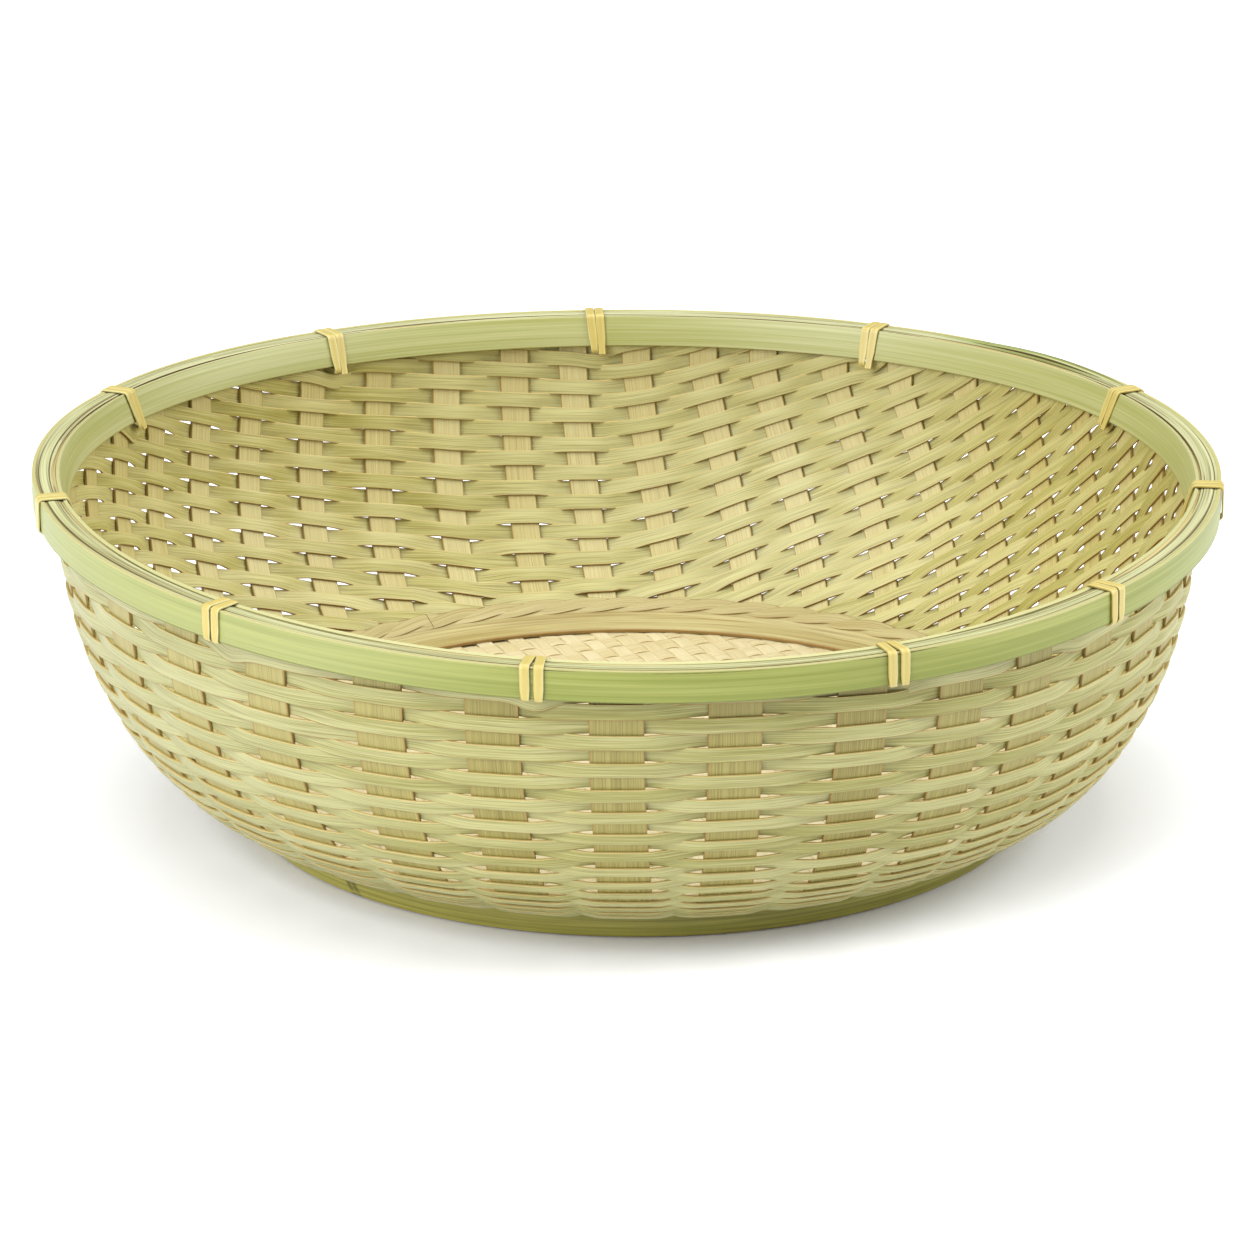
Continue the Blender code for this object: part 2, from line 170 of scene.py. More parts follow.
# %% [markdown]
# The real rim isn't level: it is low in front and at the back, and lower on the right than on the left.
# The foot sits slightly to the right of its middle. One function moves the points of a true round bowl to
# where the real ones are, so every strip that goes through it fits its neighbours.

# %% The rim's waves
RIM_SADDLE = 0.00225
RIM_SKEW = 0.00065
RIM_TILT = 0.00134


def rim_wave(azimuth):
    """How far the uneven rim stands above its mean height, at azimuths in radians."""
    return -RIM_SADDLE * np.cos(2 * azimuth) - RIM_SKEW * np.sin(2 * azimuth) - RIM_TILT * np.sin(azimuth)


def settle(azimuth, radius, height):
    """Points of the basket from true round ones: azimuths in radians, radii and heights."""
    share = np.clip((height - FLOOR_UNDERSIDE) / (RIM_UNDERSIDE - FLOOR_UNDERSIDE), 0, 1)
    x = radius * np.sin(azimuth) + FOOT_SHIFT * (1 - share) ** 2
    y = -radius * np.cos(azimuth)
    z = height + rim_wave(azimuth) * share**2
    return np.stack([x, y, z], axis=-1)


rim_heights = rim_wave(np.linspace(0, 2 * np.pi, 361))
print("the rim is", round(float(np.ptp(rim_heights)) * 1000, 1), "mm out of level")

# %% [markdown]
# Every strip is placed on the bowl by three numbers: an azimuth (0 in front, growing to the right), a
# distance along the wall up from the foot, and a depth into the wall. So the outline is measured off in
# even steps, and a table says which way the wall runs at each of them. Distances along the wall are used
# in place of heights, because strips keep their width on a slope.

# %% The bowl's outline
OUTLINE_POINTS = 1501
FLARE_POINTS = 40
WALL_CURVE = 0.6
LENGTH_STEP = 0.0005
SMOOTHED_STEPS = 9
outline_shares = np.linspace(0, 1, OUTLINE_POINTS) ** 2
swell = 1 - (1 - outline_shares) ** 2
outline_radii = WALL_START_RADIUS + (WALL_SHOULDER_RADIUS - WALL_START_RADIUS) * swell**WALL_CURVE
outline_heights = FLOOR_UNDERSIDE + (RIM_UNDERSIDE - FLOOR_UNDERSIDE) * outline_shares
flare = np.linspace(0, WALL_TOP - RIM_UNDERSIDE, FLARE_POINTS)[1:]
outline_radii = np.append(outline_radii, WALL_SHOULDER_RADIUS + LEAN_SLOPE * flare)
outline_heights = np.append(outline_heights, RIM_UNDERSIDE + flare)
outline_steps = np.hypot(np.diff(outline_radii), np.diff(outline_heights))
outline_lengths = np.append(0, np.cumsum(outline_steps))
WALL_LENGTH = float(np.interp(RIM_UNDERSIDE, outline_heights, outline_lengths))
WALL_END = float(outline_lengths[-1])

even_lengths = np.arange(0, WALL_END, LENGTH_STEP)
even_radii = np.interp(even_lengths, outline_lengths, outline_radii)
even_heights = np.interp(even_lengths, outline_lengths, outline_heights)


def smooth_change(table):
    """How much a table of even steps grows with each step, smoothed over its neighbours."""
    window = np.hanning(SMOOTHED_STEPS) / np.hanning(SMOOTHED_STEPS).sum()
    return np.convolve(np.pad(np.gradient(table), SMOOTHED_STEPS // 2, mode="edge"), window, "valid")


run_out = smooth_change(even_radii)
run_up = smooth_change(even_heights)
run_length = np.hypot(run_out, run_up)
run_out, run_up = run_out / run_length, run_up / run_length


def on_wall(degrees, length, depth):
    """Points at azimuths in degrees, distances up the wall and depths into it."""
    radius = np.interp(length, even_lengths, even_radii)
    height = np.interp(length, even_lengths, even_heights)
    inwards = np.interp(length, even_lengths, run_up)
    upwards = np.interp(length, even_lengths, run_out)
    return settle(np.radians(degrees), radius - depth * inwards, height + depth * upwards)


print("the wall is", round(WALL_LENGTH * 1000, 1), "mm from foot to rim")

# %% [markdown]
# Bamboo splits along its fibres, so all its colour and grain runs lengthwise. Each strip's own UV map
# carries the pattern: x is metres along the strip, and y is 0 to 1 across it. A pattern on Object
# coordinates would cut straight through the bent strips, so those only serve for colour that changes from
# one side of the basket to the other. Most of these helpers add one shader node, so that a finish reads
# like a recipe.

# %% Shader helpers
def srgb(red, green, blue):
    """The linear colour of 8-bit red, green and blue."""
    return tuple(((c / 255 + 0.055) / 1.055) ** 2.4 for c in (red, green, blue)) + (1,)


def add_node(tree, kind, inputs=None, **settings):
    """Adds a shader node. Inputs are values or sockets, by the input's name or number."""
    node = tree.nodes.new(kind)
    for key, value in settings.items():
        setattr(node, key, value)
    for key, value in (inputs or {}).items():
        if isinstance(value, bpy.types.NodeSocket):
            tree.links.new(value, node.inputs[key])
        else:
            node.inputs[key].default_value = value
    return node


def calc(tree, operation, a, b=0.0):
    """The result socket of a Math node."""
    return add_node(tree, "ShaderNodeMath", {0: a, 1: b}, operation=operation).outputs[0]


def opposite(tree, share):
    """1 where a share is 0, and 0 where it is 1."""
    return calc(tree, "SUBTRACT", 1.0, share)


def fade(tree, value, low, high):
    """0 below low, 1 above high and smooth between them."""
    inputs = {"Value": value, "From Min": low, "From Max": high}
    return add_node(tree, "ShaderNodeMapRange", inputs, interpolation_type="SMOOTHSTEP").outputs[0]


def blend(tree, share, first, second):
    """A colour between two."""
    mix = add_node(tree, "ShaderNodeMix", data_type="RGBA")
    for name, value in (("Factor_Float", share), ("A_Color", first), ("B_Color", second)):
        socket = next(item for item in mix.inputs if item.identifier == name)
        if isinstance(value, bpy.types.NodeSocket):
            tree.links.new(value, socket)
        else:
            socket.default_value = value
    return next(item for item in mix.outputs if item.identifier == "Result_Color")


print("shader helpers ready")

# %% [markdown]
# Two patterns do most of the work. Streaks are noise that is stretched along the strip, as the fibres are.
# A patch is a colour that grows towards one side of the basket. On the fillers it is the strips' own green
# skin; on the weave and the outer hoop it is a painted sheen, paler where the soft lights glance off the
# strips.

# %% Streaks and patches
STREAK_ROUGHNESS = 0.6


def streaks(tree, along, across, along_rate, across_rate, detail=2.0, layer=0.0):
    """Noise drawn out along a strip; another layer is another pattern."""
    x = calc(tree, "MULTIPLY", along, along_rate)
    y = calc(tree, "MULTIPLY", across, across_rate)
    place = add_node(tree, "ShaderNodeCombineXYZ", {0: x, 1: y, 2: layer}).outputs[0]
    inputs = {"Vector": place, "Scale": 1.0, "Detail": detail, "Roughness": STREAK_ROUGHNESS}
    return add_node(tree, "ShaderNodeTexNoise", inputs).outputs["Fac"]


def patch_share(tree, direction, low, high, most):
    """How much a patch shows on a side of the basket: nothing nearer than low along the direction, and most
    beyond high."""
    place = add_node(tree, "ShaderNodeTexCoord").outputs["Object"]
    inputs = {0: place, 1: direction}
    reach = add_node(tree, "ShaderNodeVectorMath", inputs, operation="DOT_PRODUCT").outputs["Value"]
    return calc(tree, "MULTIPLY", fade(tree, reach, low, high), most)


print("streaks and patches ready")

# %% [markdown]
# One function makes every bamboo finish: long streaks between two colours, fine dark and pale fibres, slow
# changes of tone, and edges of another colour. On most strips the edges have the cut edge's own colour;
# some also carry painted shade, and some a painted highlight. A split strip is greener on the side of the
# skin than on the side of the pith, so its inner face has 100 more on x in the UV map, and the finish can
# tell the two apart. Colours are given as 8-bit values, as a colour picker shows them, to compare them with
# a photograph.

# %% The bamboo finish
INNER_SHIFT = 100
# How much the broad streaks, the slow ones and the strip as a whole count in its tone
BROAD_TONE = 0.40
SLOW_TONE = 0.30
WHOLE_TONE = 0.30
# How many broad streaks there are to a fine one, and how much shorter the fine ones are
BROAD_LINES = 0.22
FINE_RATE = 1.5
SLOW_LINES = 0.7
WHOLE_RATE = 1.3
WHOLE_LINES = 0.2
# Where the fine streaks turn into dark and pale fibres
DARK_FIBRES = (0.50, 0.66)
PALE_FIBRES = (0.33, 0.48)
PALE_GAIN = 1.22
BELLY_REACH = (0.62, 0.95)
EDGE_HEART = 0.4
SCAR_COLOUR = (70, 62, 22)
SCAR_SLANT = 0.009
SCAR_REACH = (0.0002, 0.0024)
SCAR_GAPS = (0.35, 0.60)
BROAD_RELIEF = 0.5
GRAIN_DEPTH = 0.0002


def bamboo(name, light, deep, fibre, low_edge, high_edge, lines=24, fibre_depth=0.5, edge_share=0.05,
           along_rate=22, slow_rate=7, roughness=0.5, relief=0.3, contrast=0.12, pith=None, belly=None,
           marks=(), patch=None, pith_sheen=None):
    """A bamboo finish for strips. Colours are 8-bit. pith holds the light, deep and fibre colours of inner
    faces, belly is a colour along the strip's middle, and marks are dark scars at distances along it. A
    patch is the direction, low, high and most of patch_share, and the colour painted there: the strips' own
    colour on some finishes, a painted sheen on others. The patch of the inner faces is a painted sheen."""
    finish = bpy.data.materials.new(name)
    finish.use_nodes = True
    tree = finish.node_tree
    shader = tree.nodes["Principled BSDF"]
    uv = add_node(tree, "ShaderNodeTexCoord").outputs["UV"]
    parts = add_node(tree, "ShaderNodeSeparateXYZ", {0: uv})
    along, across = parts.outputs[0], parts.outputs[1]
    broad = streaks(tree, along, across, along_rate, lines * BROAD_LINES, detail=3.0)
    slow = streaks(tree, along, across, slow_rate, SLOW_LINES, detail=1.0, layer=3.7)
    fine = streaks(tree, along, across, along_rate * FINE_RATE, lines, layer=8.1)
    whole = streaks(tree, along, across, WHOLE_RATE, WHOLE_LINES, detail=0.0, layer=15.3)
    tone = calc(tree, "MULTIPLY", broad, BROAD_TONE)
    tone = calc(tree, "ADD", tone, calc(tree, "MULTIPLY", slow, SLOW_TONE))
    tone = calc(tree, "ADD", tone, calc(tree, "MULTIPLY", whole, WHOLE_TONE))
    share = fade(tree, tone, 0.5 - contrast, 0.5 + contrast)
    dark = calc(tree, "MULTIPLY", fade(tree, fine, *DARK_FIBRES), fibre_depth)
    pale = calc(tree, "MULTIPLY", opposite(tree, fade(tree, fine, *PALE_FIBRES)), fibre_depth)

    def fibrous(first, second, line, patch):
        gleam = tuple(min(1, part * PALE_GAIN) for part in srgb(*first))
        ground = blend(tree, share, srgb(*first), srgb(*second))
        # Patches: a painted sheen on the weave and the outer hoop, the strips' own green skin on the
        # fillers.
        if patch:
            *where, patch_colour = patch
            ground = blend(tree, patch_share(tree, *where), ground, srgb(*patch_colour))
        body = blend(tree, dark, ground, srgb(*line))
        return blend(tree, pale, body, gleam)

    colour = fibrous(light, deep, fibre, patch)
    if pith:
        on_inside = calc(tree, "GREATER_THAN", along, INNER_SHIFT / 2)
        colour = blend(tree, on_inside, colour, fibrous(*pith, pith_sheen))
    if belly:
        bulge = opposite(tree, calc(tree, "ABSOLUTE", calc(tree, "SUBTRACT", across, 0.5)))
        colour = blend(tree, fade(tree, bulge, *BELLY_REACH), colour, srgb(*belly))
    # The edge colours cover a strip's cut edges and a thin band of its faces beside them. On most finishes
    # they are the cut edge's own colour. On the weavers, fillers and band they also paint the shade that
    # falls beside the strip, and on the weavers and ties a highlight along one edge.
    low = opposite(tree, fade(tree, across, edge_share * EDGE_HEART, edge_share))
    colour = blend(tree, low, colour, srgb(*low_edge))
    high = fade(tree, across, 1 - edge_share, 1 - edge_share * EDGE_HEART)
    colour = blend(tree, high, colour, srgb(*high_edge))
    for distance in marks:
        slanted = calc(tree, "ADD", along, calc(tree, "MULTIPLY", across, SCAR_SLANT))
        away = calc(tree, "ABSOLUTE", calc(tree, "SUBTRACT", slanted, distance))
        scar = opposite(tree, fade(tree, away, *SCAR_REACH))
        scar = calc(tree, "MULTIPLY", scar, fade(tree, broad, *SCAR_GAPS))
        colour = blend(tree, scar, colour, srgb(*SCAR_COLOUR))
    tree.links.new(colour, shader.inputs["Base Color"])
    height = calc(tree, "SUBTRACT", calc(tree, "MULTIPLY", broad, BROAD_RELIEF), fine)
    bump = add_node(tree, "ShaderNodeBump", {"Height": height, "Strength": relief, "Distance": GRAIN_DEPTH})
    tree.links.new(bump.outputs[0], shader.inputs["Normal"])
    shader.inputs["Roughness"].default_value = roughness
    return finish


print("bamboo finish ready")

# %% [markdown]
# The weavers are of thin, yellow green strip and the stakes of duller, broader strip with many fine fibres.
# Both are paler on their inner faces. On the left their outer faces are paler and greyer, a painted sheen
# of the light on the left, and at the back their inner faces are the palest of all, also a painted sheen.

# %% Finishes of the weave
LEFT = (-1, 0, 0)
BACK = (0.15, 0.99, 0)
weaver_finish = bamboo(
    "weaver_bamboo", light=(170, 166, 112), deep=(139, 135, 66), fibre=(106, 98, 40),
    # Painted shadow and highlight: the lower edge is the cut edge's tan darkened to brown, as the thin
    # shadow line under each weaver; the upper edge is a pale tan, its own colour brightened as a painted
    # highlight.
    low_edge=(142, 106, 48), high_edge=(190, 170, 108), lines=22, fibre_depth=0.55, edge_share=0.06,
    pith=((184, 177, 118), (153, 146, 72), (122, 106, 48)),
    # Painted sheen: the outer faces turn paler and greyer towards the left, where the light on the left
    # glances off them.
    patch=(LEFT, 0.02, 0.16, 0.45, (170, 171, 135)),
    # Painted sheen: the inner faces turn paler towards the back.
    pith_sheen=(BACK, 0.125, 0.165, 0.4, (190, 190, 147)),
)
stake_finish = bamboo(
    "stake_bamboo", light=(152, 143, 78), deep=(133, 123, 58), fibre=(100, 82, 36),
    low_edge=(146, 122, 62), high_edge=(146, 122, 62), lines=60, fibre_depth=0.50, along_rate=16,
    pith=((187, 177, 122), (173, 160, 96), (135, 116, 58)),
    # The same painted sheens on the stakes: outside on the left, inside at the back.
    patch=(LEFT, 0.02, 0.16, 0.5, (176, 167, 114)),
    pith_sheen=(BACK, 0.125, 0.165, 0.4, (200, 192, 150)),
)
print("finishes:", weaver_finish.name, stake_finish.name)

# %% [markdown]
# Nearly every piece of a basket is a flat strip, bent. So the one modelling tool needed is a strip layer:
# it adds a flat grid, bends it over a given path, gives it thickness with Solidify and eases its edges
# with Bevel. Bending by a formula is used in place of hand-moved loops, because a strip has hundreds of
# bends and each has its place.

# %% Bending a strip
def bend_grid(strip, place, length, start):
    """Moves a unit grid's points to place(u, v) and lays its UV map out in metres along the strip."""
    mesh = strip.data
    flat = np.empty(len(mesh.vertices) * 3)
    mesh.vertices.foreach_get("co", flat)
    u = flat[0::3] + 0.5
    v = flat[1::3] + 0.5
    mesh.vertices.foreach_set("co", np.asarray(place(u, v)).ravel())
    layer = mesh.uv_layers[0].data
    spots = np.empty(len(layer) * 2)
    layer.foreach_get("uv", spots)
    spots[0::2] = spots[0::2] * length + start
    layer.foreach_set("uv", spots)
    return u


print("bending ready")

# %% [markdown]
# Solidify copies the UV map of the flat grid to both broad faces. To let the finish tell them apart, the
# inner one is found by its normals, which point towards the middle of the basket, and its map is shifted.

# %% The inner face
def mark_inner_face(strip, faces):
    """Shifts the UV map of a strip's inner face. Solidify puts a strip's two broad faces first."""
    mesh = strip.data
    normals = np.empty(len(mesh.polygons) * 3)
    centres = np.empty(len(mesh.polygons) * 3)
    mesh.polygons.foreach_get("normal", normals)
    mesh.polygons.foreach_get("center", centres)
    outwards = (normals * centres).reshape(-1, 3)[:faces, :2].sum()
    first = faces if outwards > 0 else 0
    layer = mesh.uv_layers[0].data
    spots = np.empty(len(layer) * 2)
    layer.foreach_get("uv", spots)
    spots.reshape(-1, 4, 2)[first:first + faces, :, 0] += INNER_SHIFT
    layer.foreach_set("uv", spots)


print("inner faces ready")

# %% [markdown]
# Now the whole strip layer. The sharp corners of a split strip catch a thin line of light, so they are
# eased by about a tenth of a millimetre. A strip that tapers towards its ends gets that from a vertex
# group that thins the Solidify. Where a strip's grain starts is wrapped round, so that it never reaches
# the inner face's share of the map.

# %% The strip layer
EASE_ANGLE = 50
SMOOTH_ANGLE = 30
GRAIN_ROOM = 40


def lay_strip(name, place, long_steps, wide_steps, thickness, length, finish, start=0.0, ease=0.00012,
              thin=None):
    """A strip whose middle surface is place(u, v), for u along it and v across it, both from 0 to 1. start
    says how many metres along the finish's pattern its grain begins."""
    bpy.ops.object.select_all(action="DESELECT")
    bpy.ops.mesh.primitive_grid_add(x_subdivisions=long_steps, y_subdivisions=wide_steps, size=1)
    strip = bpy.context.object
    strip.name = name
    strip.data.name = name
    u = bend_grid(strip, place, length, start % GRAIN_ROOM)
    faces = len(strip.data.polygons)
    body = strip.modifiers.new("body", "SOLIDIFY")
    body.thickness = thickness
    body.offset = 0
    if thin is not None:
        group = strip.vertex_groups.new(name="thickness")
        for index, weight in enumerate(thin(u)):
            group.add([index], float(weight), "REPLACE")
        body.vertex_group = "thickness"
    bpy.ops.object.modifier_apply(modifier="body")
    mark_inner_face(strip, faces)
    if ease:
        edges = strip.modifiers.new("edges", "BEVEL")
        edges.width = ease
        edges.segments = 1
        edges.limit_method = "ANGLE"
        edges.angle_limit = math.radians(EASE_ANGLE)
        bpy.ops.object.modifier_apply(modifier="edges")
    bpy.ops.object.shade_smooth_by_angle(angle=math.radians(SMOOTH_ANGLE))
    strip.data.materials.clear()
    strip.data.materials.append(finish)
    return strip


def stand_for(strip, slot, *nodes):
    """Says that a piece rides on the basket, and which solids it replaces. The slot, which would name its
    finish, is not used.
    """
    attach(strip, "root")
    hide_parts(*nodes)


def smooth_step(x):
    """Eases a share from 0 to 1 in and out."""
    return x * x * (3 - 2 * x)


def to_edges(v):
    """0 along a strip's middle and 1 at both its edges."""
    return (2 * v - 1) ** 2


print("strip layer ready")

# %% [markdown]
# The plan of the weave. Forty flat stakes run up the wall. They are broad in front and narrow at the
# back, and on the sides their lower ends lean away from the back. The azimuths start and end behind the
# basket.

# %% Stakes: where they stand
STAKE_AZIMUTHS = np.array([
    -174, -167.5, -159.8, -151.8, -143.5, -135.1, -127.5, -119.6, -112.1, -103.9,
    -95.7, -87.5, -79.4, -71.2, -59.7, -48.4, -36.9, -24.2, -12.8, -1.0,
    10.2, 22.7, 33.6, 42.8, 52.6, 62, 71, 79.6, 88.3, 96.9,
    105.6, 114.2, 122.8, 131.5, 140.4, 148.8, 156.7, 164.9, 171.6, 179,
])
# How many degrees round a stake's foot leans, and how broad it is in millimetres, at azimuths all round
STAKE_LEANS = [
    (-181, -4), (-174, -2), (-167, 1), (-150, 6), (-135, 10), (-120, 14), (-104, 12), (-88, 6), (-71, 0),
    (60, 0), (71, -2), (80, -5), (97, -11.5), (114, -18), (123, -20), (149, -19), (165, -12.5), (179, -5),
]
STAKE_BREADTHS = [
    (-181, 9.6), (-130, 9.5), (-105, 10), (-80, 11.8), (-60, 14), (-35, 14.8), (-12, 15.7), (34, 15.2),
    (43, 14), (62, 12.8), (85, 10.8), (110, 9.8), (150, 9.4), (181, 9.6),
]
LEAN_LENGTH = 0.100
LEAN_CURVE = 1.2
CROWDED_SHARE = 0.62
SEAM = -177.5
STAKE_COUNT = len(STAKE_AZIMUTHS)
stake_leans = np.interp(STAKE_AZIMUTHS, *zip(*STAKE_LEANS))
stake_breadths = np.interp(STAKE_AZIMUTHS, *zip(*STAKE_BREADTHS)) / 1000


def with_neighbours(table, turn=0.0):
    """A table with one column per stake, and the stakes before the first and after the last."""
    return np.concatenate([table[:, -1:] - turn, table, table[:, :1] + turn], axis=1)


def stake_azimuths(length):
    """The azimuth of every stake, one column each, at distances up the wall."""
    fall = np.clip(1 - np.asarray(length) / LEAN_LENGTH, 0, 1)[:, None] ** LEAN_CURVE
    return STAKE_AZIMUTHS[None, :] + stake_leans[None, :] * fall


def stake_half_widths(length):
    """Half of each stake's width there, in degrees. A stake narrows where its neighbours crowd it."""
    ring = with_neighbours(stake_azimuths(length), 360)
    room = np.minimum(ring[:, 2:] - ring[:, 1:-1], ring[:, 1:-1] - ring[:, :-2])
    radius = np.interp(length, even_lengths, even_radii)[:, None]
    wanted = np.degrees(stake_breadths[None, :] / radius)
    return np.minimum(wanted, room * CROWDED_SHARE) / 2


print("stakes:", STAKE_COUNT)

# %% [markdown]
# Weaver strips go over one stake and under the next. In front they run level with the rim and crowd
# together towards the foot. Round the sides and the back they slant across the bowl, steeply on the
# right, so a weaver comes up from the foot on one side and leaves under the rim, or the foot again, on
# the other. One table gives the slant as fall over run, and two more give how far the rows lie apart.

# %% Weavers: slants and pitches
SLANTS = [
    (-177.5, -0.02), (-170, -0.10), (-160, -0.13), (-150, -0.15), (-140, -0.27), (-130, -0.32),
    (-120, -0.41), (-112, -0.39), (-104, -0.32), (-96, -0.20), (-88, -0.08), (-80, 0), (-50, 0),
    (-40, -0.02), (-15, -0.035), (5, -0.01), (15, 0.05), (35, 0.06), (45, 0), (60, -0.05), (70, 0),
    (78, 0.08), (84, 0.30), (92, 0.62), (100, 0.82), (110, 0.90), (120, 0.90), (130, 0.84), (140, 0.74),
    (148, 0.52), (156, 0.43), (165, 0.35), (173, 0.32), (182.5, 0.05),
]
# Row pitches in millimetres: round the sides and back by azimuth, and in front by distance up the wall
BACK_PITCHES = [
    (-180, 4.95), (-170, 5.05), (-160, 5.2), (-150, 5.0), (-110, 4.7), (-80, 4.6), (80, 4.4), (110, 4.3),
    (125, 4.2), (140, 4.25), (150, 4.4), (160, 4.6), (170, 4.85), (182.5, 4.95),
]
FRONT_PITCHES = [
    (0, 2.1), (10, 2.1), (20, 2.3), (30, 2.8), (40, 3.4), (50, 3.75), (60, 3.95), (70, 4.15), (80, 4.5),
    (90, 4.8), (107, 4.95),
]
FRONT_END = 70
BACK_START = 115


def row_pitch(degrees, length):
    """The distance from one row of weaver to the next, measured up the wall."""
    back = np.interp(degrees, *zip(*BACK_PITCHES)) / 1000
    front = np.interp(length * 1000, *zip(*FRONT_PITCHES)) / 1000
    side = smooth_step(np.clip((np.abs(degrees) - FRONT_END) / (BACK_START - FRONT_END), 0, 1))
    return front + (back - front) * side


print("rows in front lie", round(float(row_pitch(0, WALL_LENGTH)) * 1000, 2), "mm apart under the rim")

# %% [markdown]
# The slants, summed up, say how many rows a weaver has fallen at each azimuth, and the pitches, summed up
# the wall, count the rows there. Together they number every point of the wall with the row that lies on
# it. The sum is stretched on the right so that the rows meet behind the basket. Drawing each weaver by
# hand would be a hundred small decisions, and this way their spacing can't go wrong.

# %% Weavers: the row on every point of the wall
ROWS_ROUND = 28
ROW_PHASE = 0.13
AZIMUTH_STEP = 0.5
plan_azimuths = np.arange(SEAM, SEAM + 360 + AZIMUTH_STEP / 2, AZIMUTH_STEP)
rim_pitches = row_pitch(plan_azimuths, WALL_LENGTH)
slants = np.interp(plan_azimuths, *zip(*SLANTS))
fall_rates = slants * WALL_SHOULDER_RADIUS * math.radians(AZIMUTH_STEP) / rim_pitches
fallen = np.append(0, np.cumsum((fall_rates[1:] + fall_rates[:-1]) / 2))
fallen -= np.interp(0, plan_azimuths, fallen)
fallen = np.where(plan_azimuths > 0, fallen * (ROWS_ROUND + fallen[0]) / fallen[-1], fallen)
pitches = row_pitch(plan_azimuths[:, None], even_lengths[None, :])
counted = np.cumsum(LENGTH_STEP / pitches, axis=1)
at_rim = np.array([np.interp(WALL_LENGTH, even_lengths, row) for row in counted])
row_numbers = counted - at_rim[:, None] + fallen[:, None] + ROW_PHASE
print("rows fallen on the left and right:", round(float(fallen[0]), 2), round(float(fallen[-1]), 2))

# %% [markdown]
# A weaver is one row's path, from where it rises out of the foot or starts under the rim to where it is
# lost again. A row may go once round and on past the seam behind the basket, where it has become a lower
# row. So each row is followed twice round, and each stretch of it that lies on the wall becomes one
# weaver, unless it is very short.

# %% One weaver after another
FIRST_LENGTH = 0.0022
LAST_LENGTH = WALL_LENGTH + 0.0030
OFF_BELOW = -1
OFF_ABOVE = 9
FURTHEST_ROW = 45
SHORTEST_RUN = 8


def weaver_lengths(row, degrees):
    """How far up the wall a weaver runs at azimuths that may go on past the seam behind the basket."""
    lap = np.floor((degrees - SEAM) / 360)
    here = degrees - 360 * lap
    wanted = row - ROWS_ROUND * lap
    column = (here - SEAM) / AZIMUTH_STEP
    low = np.minimum(np.floor(column).astype(int), len(row_numbers) - 2)
    share = column - low
    lengths = []
    for index, part, number in zip(low, share, wanted):
        numbers = row_numbers[index] * (1 - part) + row_numbers[index + 1] * part
        lengths.append(np.interp(number, numbers, even_lengths, left=OFF_BELOW, right=OFF_ABOVE))
    return np.array(lengths), here, lap


weaver_runs = []
survey = np.arange(SEAM, SEAM + 720, 1.0)
for row in range(-FURTHEST_ROW, FURTHEST_ROW):
    heights, _, _ = weaver_lengths(row, survey)
    inside = (heights > FIRST_LENGTH) & (heights < LAST_LENGTH)
    for start in np.flatnonzero(inside[1:] & ~inside[:-1]) + 1:
        if survey[start] > SEAM + 360:
            continue
        ends = np.flatnonzero(~inside[start:])
        end = start + (ends[0] if len(ends) else len(survey) - start)
        if end - start > SHORTEST_RUN:
            weaver_runs.append((row, float(survey[start]), float(survey[end - 1])))
print("weavers:", len(weaver_runs))

# %% [markdown]
# A stake is a flat strip that follows the wall's curve from the floor band up into the rim. It stays in
# the middle of the wall's thickness, and the weavers do all the bending round it, because it is the
# stiffer of the two. Each one starts elsewhere in the pattern of the finish, so no two have the same
# grain.

# %% Stakes
STAKE_THICKNESS = 0.0009
STAKE_END_GAP = 0.0006
STAKE_STEPS = 44
STAKE_GRAIN_SHIFT = 1.37
MIDDLE_DEPTH = WALL_THICKNESS / 2


def stake_place(number):
    """Where a stake's strip lies."""
    def place(u, v):
        length = STAKE_END_GAP + (WALL_END - 2 * STAKE_END_GAP) * u
        middle = stake_azimuths(length)[:, number]
        half = stake_half_widths(length)[:, number]
        return on_wall(middle + half * (2 * v - 1), length, np.full(len(u), MIDDLE_DEPTH))
    return place


for number in range(STAKE_COUNT):
    stake = lay_strip(
        f"stake_{number + 1:02d}", stake_place(number), STAKE_STEPS, 3, STAKE_THICKNESS, WALL_END,
        stake_finish, start=number * STAKE_GRAIN_SHIFT,
    )
    stand_for(stake, "stake_strip", "woven_wall")
print("stakes laid:", STAKE_COUNT)

# %% [markdown]
# A tie's two turns go through one hole in the weave, in the nearest gap between two stakes. The weavers
# there are pushed down by it, so a little light shows in the hole. The holes are found before the weavers
# are laid, because a weaver has to know where it is pushed.

# %% The holes for the ties
HOLE_DEPTH = 0.001
HOLE_MARGIN = 1.25
hole_length = np.array([WALL_LENGTH - HOLE_DEPTH])
hole_stakes = with_neighbours(stake_azimuths(hole_length), 360)[0]
hole_halves = with_neighbours(stake_half_widths(hole_length))[0]
hole_azimuths = []
for tie in TIE_AZIMUTHS:
    here = (tie - SEAM) % 360 + SEAM
    gaps = zip(hole_stakes[:-1] + hole_halves[:-1], hole_stakes[1:] - hole_halves[1:])
    options = [min(max(here, start + HOLE_MARGIN), end - HOLE_MARGIN) for start, end in gaps]
    nearest = min(options, key=lambda spot: abs(spot - here))
    hole_azimuths.append(tie + nearest - here)
hole_shifts = [round(hole - tie, 1) for hole, tie in zip(hole_azimuths, TIE_AZIMUTHS)]
print("holes lie beside their ties by", hole_shifts, "degrees")

